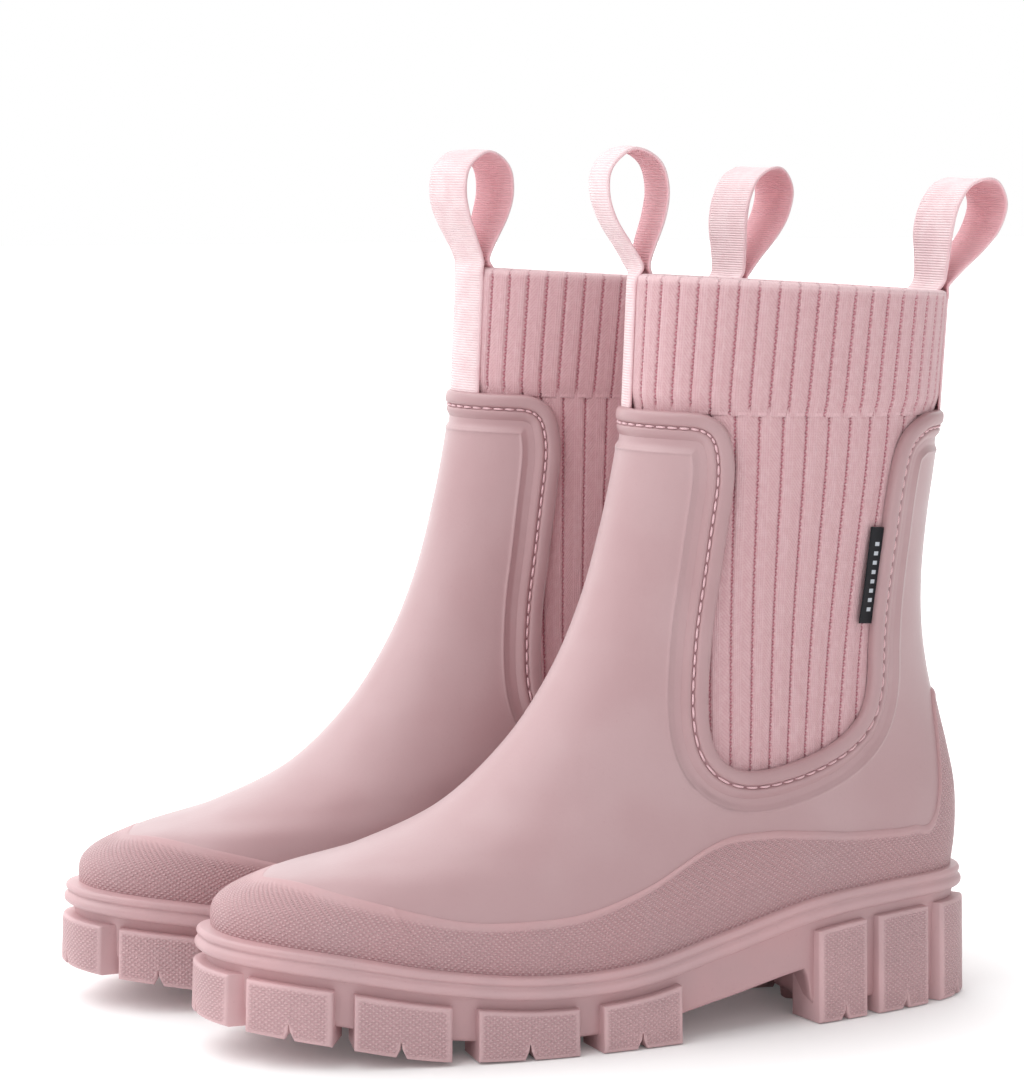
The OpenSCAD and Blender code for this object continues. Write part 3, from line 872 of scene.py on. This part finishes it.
def add_stitches(side):
    """Separate stitches in the groove, all the way round the free edge."""
    centre = beside_edge([STITCH_AT], [0.3])[0]
    total = len(centre)
    count = round(EDGE_LENGTH / STITCH_PITCH)
    reach = STITCH_LENGTH / EDGE_LENGTH * total / 2
    stations, around = 9, 8
    bow = np.sin(np.linspace(0, math.pi, stations))[:, None]
    radius = (0.2 + 0.26 * bow ** 0.4)[..., None]
    turn = ring_angles(around)[None, :, None]
    points = []
    for k in range(count):
        spots = (k + 0.5) / count * total + np.linspace(-reach, reach, stations)
        low = np.floor(spots).astype(int)
        part = (spots - low)[:, None]
        out = EDGE_NORMAL[low % total]
        spine = centre[low % total] * (1 - part) + centre[(low + 1) % total] * part
        spine = spine + out * (0.55 * bow ** 0.5 - 0.28)
        run = unit(np.gradient(spine, axis=0))
        aside = unit(np.cross(run, out))
        lift = np.cross(aside, run)
        around_spine = np.cos(turn) * aside[:, None] + np.sin(turn) * lift[:, None]
        points.append(spine[:, None] + radius * around_spine)
    quads, corner_rows, corner_columns = grid(stations, around, False, True)
    faces = np.concatenate([quads + k * stations * around for k in range(count)])
    pattern = np.tile(np.stack([corner_columns * 0.35, corner_rows * 0.45], -1), (count, 1, 1))
    obj = build(side, "stitches", np.array(points).reshape(-1, 3), faces, THREAD, pattern)
    return dress(obj, side, "thread", "stitching")


# ---------------------------------------------------------------- mudguard, welt and sole


def add_mudguard(side):
    """Knurled rand with a soft raised top edge, a heel kick tab and a mould parting line."""
    columns = 1100
    angle = ring_angles(columns)[None]
    top = guard_top(angle)
    share = np.concatenate([np.linspace(0, 0.9, 44), 0.9 + 0.1 * smooth(np.linspace(0, 1, 16))[1:]])[:, None]
    u = top * share
    angle = np.broadcast_to(angle, u.shape)
    from_top = np.linalg.norm(shell(u, angle) - shell(np.broadcast_to(top, u.shape), angle), axis=-1)
    toe = smooth((np.cos(angle) - 0.45) / 0.4)
    proud = GUARD_PROUD * (1 - 0.8 * toe)
    over_edge = np.clip(1 - from_top / GUARD_EDGE, 0, 1)
    edge = np.sqrt(1 - over_edge ** 2)
    bead = 0.28 * (1 - toe) * np.exp(-((from_top - 2.0) / 1.1) ** 2)
    up_line = (u - PARTING_FOOT[1]) / (PARTING_HEAD[1] - PARTING_FOOT[1])
    across_line = np.degrees(angle) - PARTING_FOOT[0] - (PARTING_HEAD[0] - PARTING_FOOT[0]) * up_line
    parting = 0.3 * np.exp(-((across_line / 0.42) ** 2)) * (up_line > 0)
    height = proud * edge + bead - 0.25 * (1 - edge) + parting
    points = shell(u, angle) + shell_normal(u, angle) * height[..., None]
    walked, whole = walk_round(shell(np.full(columns, 0.06), angle[0]))
    across = walked * round(whole / KNURL) * KNURL / whole
    rise = np.cumsum(np.linalg.norm(np.diff(points, axis=0, prepend=points[:1]), axis=-1), 0)
    fade = smooth((from_top - 2.4 + 0.6 * toe) / (1.2 + 4 * toe))
    toe_fade = 1 - 0.6 * toe * smooth((share - 0.7) / 0.3)
    marks = {"knurl": fade * toe_fade}
    obj = build_grid(side, "rand", points, GUARD, laid(across, rise), marks)
    return dress(obj, side, "textured_rubber", "mudguard")


def welt_profile():
    """Reach and height from the sole line of a thin upper ledge, a groove and a round bead under it."""
    out = [[0.0, 0.3], [1.6, 0.25], [3.2, 0.1]]
    for centre_reach, centre_height, radius, start, end in (
        (3.3, -1.5, 1.6, 80, -62),
        (3.45, -5.6, 2.15, 58, -80),
    ):
        for turn in np.radians(np.linspace(start, end, 15)):
            out.append([centre_reach + radius * math.cos(turn), centre_height + radius * math.sin(turn)])
    return np.array(out + [[2.6, -7.95], [1.0, -8.1]])


def add_welt(side):
    angle = ring_angles(560)
    heights = curve(WELT_HEIGHTS, along(angle))
    points = np.array([sole_point(angle, reach, heights + drop) for reach, drop in welt_profile()[::-1]])
    obj = build_grid(side, "welt_rim", points, WELT)
    return dress(obj, side, "welt_rubber", "welt")


def add_sole_wall(side):
    """The recessed wall of the sole behind the lugs, its top and its underside, heel block included."""
    angle = ring_angles(560)
    t = along(angle)
    top = curve(WELT_HEIGHTS, t) - UPPER_SINK - FIT_GAP
    heel = smooth((t - HEEL_START + 0.002) / 0.012)
    low = curve(BODY_HEIGHTS, t) * (1 - heel) + HEEL_BODY * heel
    wall_top = curve(WELT_HEIGHTS, t) - 7.6
    levels = ((1.0, 1.0), (0.97, 1.45), (0.9, 1.6), (0.6, 1.5), (0.3, 1.55), (0.12, 1.9), (0, 2.3))
    rows = [sole_point(angle, reach, wall_top + (low - wall_top) * share) for share, reach in levels]
    rows.append(sole_point(angle, 1.4, top))
    underside = [rows[0] * [share, 1, 1] for share in (0.02, 0.3, 0.6, 0.9)]
    points = np.array(underside + rows + [rows[-1] * [0.02, 1, 1]])
    obj = build_grid(side, "sole", points, SOLE)
    return dress(obj, side, "sole_rubber", "outsole")


def spaced(length, step):
    """Places from 0 to a length, close together over a rounded border at each end."""
    border = LUG_ROUND * (1 - np.cos(np.linspace(0, math.pi / 2, 6)))
    count = max(2, round((length - 2 * LUG_ROUND) / step))
    inner = np.linspace(LUG_ROUND, length - LUG_ROUND, count)[1:-1]
    return np.concatenate([border, inner, (length - border)[::-1]])


def lug(from_angle, to_angle):
    """One tread block: a face rounded at its border and notched at the ground, back, pattern and knurl."""
    fine = np.radians(np.linspace(from_angle, to_angle, 60))
    line = sole_point(fine, LUG_REACH, 0)
    walked = walk(line)
    length = walked[-1]
    at = spaced(length, 1.2)
    middle = at[np.abs(at - length / 2).argmin()]
    notch = np.array([-1, -0.6, -0.25, -0.1, 0, 0.1, 0.25, 0.6, 1]) * NOTCH_HALF
    at = np.unique(np.concatenate([at, middle + notch]))
    angle = np.interp(at, walked, fine)
    low = curve(LUG_HEIGHTS, along(angle))
    high = curve(WELT_HEIGHTS, along(angle)) - LUG_DROP
    off = np.abs(at - middle) / NOTCH_HALF
    foot = low + NOTCH_HEIGHT * np.clip(1 - off, 0, 1) + 1.6 * (off < 0.15)
    share = spaced(24.0, 1.3)[:, None] / 24.0
    height = foot + (high - foot) * share
    from_end = np.minimum(at, length - at)
    edge = np.minimum(from_end, np.minimum(share, 1 - share) * (high - low))
    over = np.clip(LUG_ROUND - edge, 0, None)
    rounding = LUG_ROUND - np.sqrt(np.clip(LUG_ROUND ** 2 - over ** 2, 0, None))
    face = sole_point(angle, LUG_REACH + 0.7 * (1 - share) - 0.5 - rounding, height)
    border = np.minimum(from_end, np.minimum(height - foot, high - height))
    from_notch = np.hypot(height - low - NOTCH_HEIGHT, at - middle) * 0.9
    border = np.where(off < 1.6, np.minimum(border, from_notch), border)
    run = line[-1] - line[0]
    inward = unit(np.array([-run[1], run[0], 0]))
    back = sole_point(angle, LUG_REACH, height) + inward * LUG_DEPTH
    return face, back, laid(at, height), smooth((border - 0.9) / 0.8)


def add_lugs(side):
    """All the side lugs of a boot: each is a closed block."""
    points, faces, corners, marks = [], [], [], []
    start = 0
    for span in [TOE_LUG] + SIDE_LUGS + [(360 - b, 360 - a) for a, b in SIDE_LUGS]:
        face, back, pattern, knurl = lug(*span)
        behind = knurl.size
        quads, _, _ = grid(*knurl.shape, False, False)
        index = np.arange(behind).reshape(knurl.shape)
        loop = np.concatenate([index[0], index[1:, -1], index[-1, -2::-1], index[-2:0:-1, 0]])
        following = np.roll(loop, -1)
        walls = np.stack([loop, loop + behind, following + behind, following], -1)
        faces += [quads + start, walls + start, quads[:, ::-1] + start + behind]
        corners += [pattern.reshape(-1, 2)[block % behind] for block in (quads, walls, quads)]
        points += [face.reshape(-1, 3), back.reshape(-1, 3)]
        marks += [knurl.reshape(-1), np.zeros(behind)]
        start += 2 * behind
    points, faces, corners, marks = (np.concatenate(part) for part in (points, faces, corners, marks))
    obj = build(side, "lugs", points, faces, LUG_LIT, corners, {"knurl": marks})
    obj.data.set_sharp_from_angle(angle=math.radians(50))
    return dress(obj, side, "sole_rubber")


def add_tread(side):
    """Diamond blocks down the middle of the tread."""
    tips = np.array([(0, -1), (1, 0), (0, 1), (-1, 0)], float)
    following = np.roll(tips, -1, 0)
    outline = np.stack([tips * 0.86 + following * 0.14, tips * 0.14 + following * 0.86], 1).reshape(-1, 2)
    rings = []
    for y in MIDDLE_LUGS:
        t = (y - SOLE_TOE) / SOLE_LENGTH
        low = float(curve(LUG_HEIGHTS, t))
        high = HEEL_BODY if t > HEEL_START else float(curve(BODY_HEIGHTS, t))
        for half, z in ((0.1, low), (7.2, low), (8.2, low + 0.25), (8.8, low + 1.0), (9.6, high + 1)):
            rings.append(np.column_stack([outline * half + [0, y], np.full(8, z)]))
    quads, _, _ = grid(5, 8, False, True)
    faces = np.concatenate([quads + 5 * 8 * k for k in range(len(MIDDLE_LUGS))])
    obj = build(side, "tread", np.concatenate(rings), faces, SOLE)
    return dress(obj, side, "sole_rubber")


# ---------------------------------------------------------------- knit


def rib_height(phase, depth, pitch):
    """Height of the knit across a rib, from its phase 0 to 1 between grooves."""
    off = np.minimum(phase, 1 - phase) * pitch
    groove = -depth * np.exp(-((off / 0.5) ** 2))
    crown = 0.22 * np.sin(np.pi * phase) ** 0.6
    half = 0.12 * smooth((phase - 0.48) / 0.06)
    return groove + crown - half


def rib_columns(ribs, per_rib):
    """Angles of evenly spaced columns round the collar, their places in ribs, and the whole way round."""
    fine = ring_angles(720)
    walked, whole = walk_round(knit_point(0, fine))
    in_ribs = np.arange(ribs * per_rib) / per_rib
    angle = np.interp(in_ribs / ribs * whole, [*walked, whole], [*fine, TURN])
    return angle, in_ribs, whole


def hanging(collar_angle, u):
    """Angle on the shell at share up u of a wale that hangs straight down from an angle at the collar."""
    top = curve(SECTIONS, np.ones_like(u))
    here = curve(SECTIONS, u)
    y = top[..., 0] + (top[..., 2] - top[..., 0]) * along(collar_angle)
    front_free, rear_free = 30.0, 96.0
    lean = 9 * smooth((y - 40) / 75) * smooth((1 - u) / 0.6)
    front = here[..., 0] + (front_free - here[..., 0]) * (y - top[..., 0]) / (front_free - top[..., 0])
    rear = here[..., 2] - (here[..., 2] - rear_free) * (top[..., 2] - y) / (top[..., 2] - rear_free)
    y = np.where(y < front_free, front, np.where(y > rear_free, rear, y)) - lean * (y < 128)
    angle = angle_of((y - here[..., 0]) / (here[..., 2] - here[..., 0]))
    return np.where(np.sin(collar_angle) >= 0, angle, TURN - angle)


def gaiter_foot(angle):
    """Share up of the lower end of each wale, just above the lining."""
    low = np.full_like(angle, 0.36)
    for _ in range(12):
        guard = guard_top(hanging(angle, low))
        low = 0.5 * low + 0.5 * (guard + (1 - guard) * GAITER_FOOT)
    for _ in range(8):
        low = (np.roll(low, 1) + low + np.roll(low, -1)) / 3
    return low


def add_cloth(side, name, slot, node, rows, across, finish, marks=None):
    """A closed sheet from rings of points, cut to the way round it by the way up the rings of its face."""
    points = np.array(rows)
    rise = climb(points)
    obj = build_grid(side, name, points, finish, laid(across, rise[:, None]), marks, wrap_rows=True)
    dress(obj, side, slot, node)


def add_gaiter(side):
    """Knit tube inside the shell: a closed thin sheet with real ribs outside and softer ones inside."""
    angle, in_ribs, whole = rib_columns(GAITER_RIBS, 18)
    pitch = whole / GAITER_RIBS
    phase = in_ribs % 1.0
    outside = rib_height(phase, 0.8, pitch)
    inside = KNIT + 0.5 * rib_height((phase + 0.5) % 1.0, 0.8, pitch)
    low = gaiter_foot(angle)

    def wales(s, depth):
        u = low + (1 - low) * s
        return shell(u, hanging(angle, u), KNIT_INSET + depth)

    top = 1 - HINGE_LIFT / KNIT_RISE
    rows = [wales(s, -outside) for s in np.linspace(0, 1, 86)]
    rows += [knit_point(s, angle, -outside * (1 - s)) for s in np.linspace(0.1, top, 9)]
    rows += [knit_point(s, angle, inside) for s in np.linspace(top, 0.1, 14)]
    rows += [wales(s, inside) for s in np.linspace(1, 0, 26)]
    knit = rib_knit(f"rib_knit_{side}", pitch, 1.15)
    add_cloth(
        side, "knit_tube", "rib_knit", "gaiter", rows, in_ribs * pitch, knit,
    )


def add_cuff(side):
    """Band folded over the top of the gaiter, closer ribs, hem fold on top."""
    angle, in_ribs, whole = rib_columns(CUFF_RIBS, 16)
    pitch = whole / CUFF_RIBS
    ribs = rib_height(in_ribs % 1.0, 0.75, pitch)
    foot, tuck = -0.02, 1 - CUFF_TUCK / KNIT_RISE
    outer = FIT_GAP + CUFF
    inner = KNIT + FIT_GAP + CUFF
    rows = []
    for v in np.linspace(foot, 0.965, 52):
        out = 0.25 + (outer - 0.25) * smooth((v - foot) / 0.16)
        fade = 1 - smooth((v - 0.93) / 0.035)
        rows.append(knit_point(v, angle, -out - ribs * fade))
    for turn in np.linspace(0.12, math.pi - 0.12, 12):
        inset = (inner - outer) / 2 - (inner + outer) / 2 * math.cos(turn)
        rows.append(knit_point(0.972 + 0.03 * math.sin(turn), angle, inset))
    rows += [knit_point(v, angle, inner + 0.4 * ribs) for v in np.linspace(0.96, tuck, 12)]
    rows += [knit_point(v, angle, KNIT + FIT_GAP) for v in np.linspace(tuck, 0.96, 4)]
    for v, gap in ((0.962, FIT_GAP), (0.5, FIT_GAP), (foot, FIT_GAP / 2)):
        rows.append(knit_point(v, angle, -gap))
    # The hem mark lightens the top few millimetres of the cuff: a painted highlight.
    hem = smooth((np.array(rows)[..., 2] - rim_height(angle) + 3.2) / 2.2)
    knit = rib_knit(f"cuff_knit_{side}", pitch, 1.1, tick_height=1.0)
    add_cloth(
        side, "knit_cuff", "cuff_knit", "cuff", rows, in_ribs * pitch, knit,
        marks={"hem": hem},
    )


# ---------------------------------------------------------------- webbing


def teardrop(height, half):
    """Middle line of a free loop in its own plane, back y and up z, from its front foot to its rear foot."""
    line = [
        [-1.0, 0.0], [-1.8, 0.07 * height], [-0.45 * half, 0.22 * height], [-0.84 * half, 0.43 * height],
        [-half, 0.65 * height], [-0.8 * half, 0.86 * height], [0.02 * half, 0.985 * height],
        [0.82 * half, 0.86 * height], [half, 0.64 * height], [0.8 * half, 0.42 * height],
        [0.42 * half, 0.21 * height], [1.8, 0.07 * height], [1.0, 0.0],
    ]
    return curve(line, np.linspace(0, 1, 140))


def ribbon_section():
    """Half width and half thickness round the webbing's section."""
    side = WEBBING_WIDTH / 2
    top = laid(np.linspace(-1, 1, 13) * (side - 0.5), 0.5)
    right = np.array([[side - 0.12, 0.33], [side, 0.0], [side - 0.12, -0.33]])
    return np.concatenate([top, right, top[::-1] * [1, -1], -right]) * [1, WEBBING]


def resample(spine, count, rounds):
    """Even steps along a line, with its corners eased; also how far along each step is."""
    for last in (False, True):
        walked = walk(spine)
        even = np.linspace(0, walked[-1], count)
        spine = np.stack([np.interp(even, walked, spine[:, k]) for k in range(3)], -1)
        if last:
            return spine, even
        for _ in range(rounds):
            spine[1:-1] = (spine[:-2] + 2 * spine[1:-1] + spine[2:]) / 4


def webbing_line(foot, middle, end, height, half, lean):
    """Middle line of a strip: up the outside of the cuff, round the free loop and down the inside."""
    clear = FIT_GAP + CUFF + 0.15 + WEBBING / 2
    drop = teardrop(height + 1, half)
    if end == "rear":  # its outer leg is the one towards the heel
        drop = drop[::-1]
    a, b = drop.T
    sine, cosine = math.sin(lean), math.cos(lean)
    loop = foot + np.stack([np.zeros_like(a), a * cosine + b * sine, b * cosine - a * sine], -1)
    up = knit_point(np.linspace(0.0, 0.955, 22), middle, -clear)
    down = knit_point(np.linspace(0.955, 0.3, 16), middle, KNIT + clear)
    return resample(np.concatenate([up, loop, down]), 320, 6)


def add_webbing(side, end):
    """One strip of webbing: sewn up the outside of the cuff, round the free loop and down the inside."""
    place, height, half, lean, first_turn, last_turn = LOOPS[side, end]
    outward = 1 if end == "front" else -1
    middle = math.radians(place)
    foot = (knit_point(1.0, middle) + knit_point(1.0, middle, KNIT)) / 2 + [0, 0, HINGE_LIFT]
    line, even = webbing_line(foot, middle, end, height, half, math.radians(lean))
    run = unit(np.gradient(line, axis=0))
    width, thick = ribbon_section().T
    collar_radius = 41
    hug = knit_point(0.6, middle + outward * width / collar_radius) - knit_point(0.6, middle)
    hug_turn = 0.4 * math.radians(place if end == "front" else place - 180)
    rows = []
    for i, centre in enumerate(line):
        curl = smooth((foot[2] + 2 - centre[2]) / 9)
        sway = smooth((centre[2] - foot[2] + 1) / 24)
        turn = math.radians(first_turn + (last_turn - first_turn) * i / len(line))
        turn = turn * sway + hug_turn * (1 - sway)
        across = np.array([math.cos(turn), math.sin(turn), 0])
        face = unit(np.cross(across, run[i]))
        dish = 0.5 * (1 - (2 * width / WEBBING_WIDTH) ** 2) * sway
        flat = np.outer(width, across) + np.outer(dish, face)
        rows.append(centre + flat * (1 - curl) + hug * curl + np.outer(thick, face))
    caps = [row.mean(0) + (row - row.mean(0)) * 0.02 for row in (rows[0], rows[-1])]
    points = np.array([caps[0], *rows, caps[1]])
    pattern = laid(width, np.array([0, *even, even[-1]])[:, None])
    # This mark carries the deeper pink painted shade on the loop's inner face.
    marks = {"shaded_inner_face": np.broadcast_to(thick * outward < 0, points.shape[:2])}
    obj = build_strip(side, f"{end}_webbing", points, WEB, pattern, marks)
    dress(obj, side, "webbing", f"{end}_anchor", f"{end}_loop", body=None)
    bend(obj, side, foot - [0, 0, HINGE_BELOW], foot + [0, 0, HINGE_ABOVE])
    return obj


# ---------------------------------------------------------------- label, lining and footbed


def tag_layer(radius):
    """One side of the label's section, as ahead and out, from its sewn edge round the fold and back."""
    fold = LABEL_WIDTH - 0.4
    ahead = np.linspace(LABEL_SEWN, fold, 8)[:-1]
    turn = np.radians(np.linspace(-90, 90, 9))
    low = laid(ahead, 0.4 - radius)
    bend_round = np.stack([fold + radius * np.cos(turn), 0.4 + radius * np.sin(turn)], -1)
    high = laid(ahead[::-1], 0.4 + radius)
    return np.concatenate([low, bend_round, high])


def add_label(side):
    """Folded woven label in two layers; its rear edge is sewn in under the rear edge of the outer opening."""
    foot = shell(0.64, angle_of(0.762), KNIT_INSET)
    head = shell(0.805, angle_of(0.756), KNIT_INSET)
    up = unit(head - foot)
    outward = unit(np.cross(up, np.cross(shell_normal(0.72, angle_of(0.72)), up)))
    forward = np.cross(outward, up)
    corner = (foot + head) / 2 - up * (LABEL_LENGTH / 2 + 1.5) + outward * 0.9
    outer = tag_layer(0.4)
    section = np.concatenate([outer, tag_layer(0.04)[::-1]])
    ahead, out = section.T
    places = np.linspace(0, LABEL_LENGTH, 44)[:, None]
    lift = out + 0.5 * smooth((ahead + 0.5) / 4) * (1 + 0.5 * np.sin(places / 7))
    points = corner + up * places[..., None] + forward * ahead[:, None] + outward * lift[..., None]
    around = len(section)
    k = np.arange(len(outer) - 1)
    foot_cap = np.stack([k, around - 1 - k, around - 2 - k, k + 1], -1)
    head_cap = foot_cap[:, ::-1] + around * (len(places) - 1)
    marks = {"front_face": np.broadcast_to(out > 0.6, points.shape[:2])}
    obj = build_strip(side, "tag", points, LABEL, laid(places, ahead), marks, foot_cap, head_cap)
    obj.data.set_sharp_from_angle(angle=math.radians(60))
    dress(obj, side, "label_fabric", "label", body=None)
    middle = corner + up * LABEL_LENGTH / 2
    bend(obj, side, middle - forward, middle + forward)
    return obj


def add_lining(side):
    """Thin jersey inside the foot of the shell, closed at both edges."""
    angle = ring_angles(240)
    guard = guard_top(angle)
    high = guard + (1 - guard) * LINING_TOP
    rows = [shell(high * s, angle, LINING_INSET) for s in np.linspace(0, 1, 24)]
    rows += [shell(high * s, angle, LINING_INSET + LINING) for s in np.linspace(1, 0, 24)]
    just_above_sole = rows[4]
    walked, whole = walk_round(just_above_sole)
    add_cloth(
        side, "jersey", "lining_fabric", "lining", rows, walked, LINER,
    )


def add_footbed(side):
    """Loose foam footbed with a fabric top, a shallow heel cup and rounded edges."""
    angle = ring_angles(200)
    t = along(angle)
    base = curve(WELT_HEIGHTS, t) - 0.9
    rows = []
    for inset, lift in ((0.9, 0.0), (0.2, 0.5), (0.0, 1.4), (0.0, 3.9), (0.25, 4.7), (0.9, 5.1)):
        rows.append(sole_point(angle, -FOOTBED_INSET - inset, base + lift))
    rim = rows[-1]
    cup = 0.9 * smooth((t - 0.62) / 0.2) + 0.5 * (1 - smooth((t - 0.25) / 0.2))
    for share in (0.93, 0.82, 0.66, 0.48, 0.3, 0.14, 0.01):
        ring = rim * [share, 1, 1]
        ring[:, 2] += 0.25 * (1 - share) - cup * (1 - share ** 2)
        rows.append(ring)
    under = [rows[0] * [share, 1, 1] for share in (0.02, 0.5)]
    points = np.array(under + rows)
    obj = build_grid(side, "insole_pad", points, INSOLE, points[..., :2])
    dress(obj, side, "footbed_foam", "footbed", body="footbed")
    return obj


# ---------------------------------------------------------------- stage


def aim(obj, place, forward):
    obj.location = place
    obj.rotation_mode = "QUATERNION"
    obj.rotation_quaternion = Vector(forward).to_track_quat("-Z", "Y")


def add_stage():
    mesh = bpy.data.meshes.new("floor")
    reach = 12.0
    low = cad_box[0][2] - 0.0002
    corners = [(x * reach, y * reach, low) for x, y in ((-1, -1), (1, -1), (1, 1), (-1, 1))]
    mesh.from_pydata(corners, [], [(0, 1, 2, 3)])
    mesh.materials.append(white_floor())
    put_in_scene("floor", mesh)


def add_light(name, kind, energy, place, target, **settings):
    data = bpy.data.lights.new(name, kind)
    data.energy = energy
    for key, value in settings.items():
        setattr(data, key, value)
    aim(put_in_scene(name, data), place, np.subtract(target, place))


def add_world():
    """Plain white studio: the wall behind the boots is the brightest part, and the camera sees pure white."""
    world = bpy.data.worlds.new("studio")
    n = Nodes(world, "Background")
    n.shader.inputs["Color"].default_value = (1, 1, 1, 1)
    toward = n.add("VectorMath", operation="DOT_PRODUCT")
    toward.inputs[1].default_value = (-0.9, -0.05, 0.33)
    n.put(toward.inputs[0], n.add("TexCoord").outputs["Generated"])
    wall = n.scaled(n.step(toward.outputs["Value"], 0.1, 0.95), 1.18, 0.52)
    seen = n.add("LightPath").outputs["Is Camera Ray"]
    n.put(n.shader.inputs["Strength"], n.mix("FLOAT", seen, wall, 1.0))
    bpy.context.scene.world = world


CAMERA_AZIMUTH = math.radians(66.8)
CAMERA_PITCH = math.radians(6.5)
CAMERA_DISTANCE = 1.163
CAMERA_FOCUS = 3254
CAMERA_ASIDE = 0.0281
CAMERA_RISE = 0.0223
LONG_SIDE = 1086


def add_camera():
    """The camera looks past the left boot; its focal length is in image points."""
    right = np.array([math.cos(CAMERA_AZIMUTH), math.sin(CAMERA_AZIMUTH), 0])
    level = np.array([-right[1], right[0], 0])
    forward = level * math.cos(CAMERA_PITCH) - np.array([0, 0, math.sin(CAMERA_PITCH)])
    target = PLACES["left"][0] + [0, 0, 0.15]
    data = bpy.data.cameras.new("camera")
    data.sensor_width = 36
    data.lens = CAMERA_FOCUS * data.sensor_width / LONG_SIDE
    data.clip_start = 0.01
    data.clip_end = 50
    camera = put_in_scene("camera", data)
    rise = np.cross(right, forward) * CAMERA_RISE
    aim(camera, target - forward * CAMERA_DISTANCE - right * CAMERA_ASIDE + rise, forward)
    bpy.context.scene.camera = camera


# ---------------------------------------------------------------- everything together

add_camera()
add_stage()
add_world()
add_light("key", "SUN", 1.75, (-0.1, -1.7, 2.3), (0, 0, 0.1), angle=math.radians(65))
add_light("fill", "AREA", 3, (1.9, 0.3, 0.9), (0, 0, 0.15), size=1.4)
bpy.context.scene.view_settings.view_transform = "Standard"

for side in SIDES:
    for add_piece in (
        add_shell, add_lip, add_stitches, add_mudguard, add_welt, add_sole_wall, add_lugs, add_tread,
        add_gaiter, add_cuff, add_lining, add_footbed, add_label,
    ):
        add_piece(side)
    for end in ("front", "rear"):
        add_webbing(side, end)
    board = frame["nodes"][f"{side}_insole_board"]
    board.data.materials.clear()
    board.data.materials.append(BOARD)
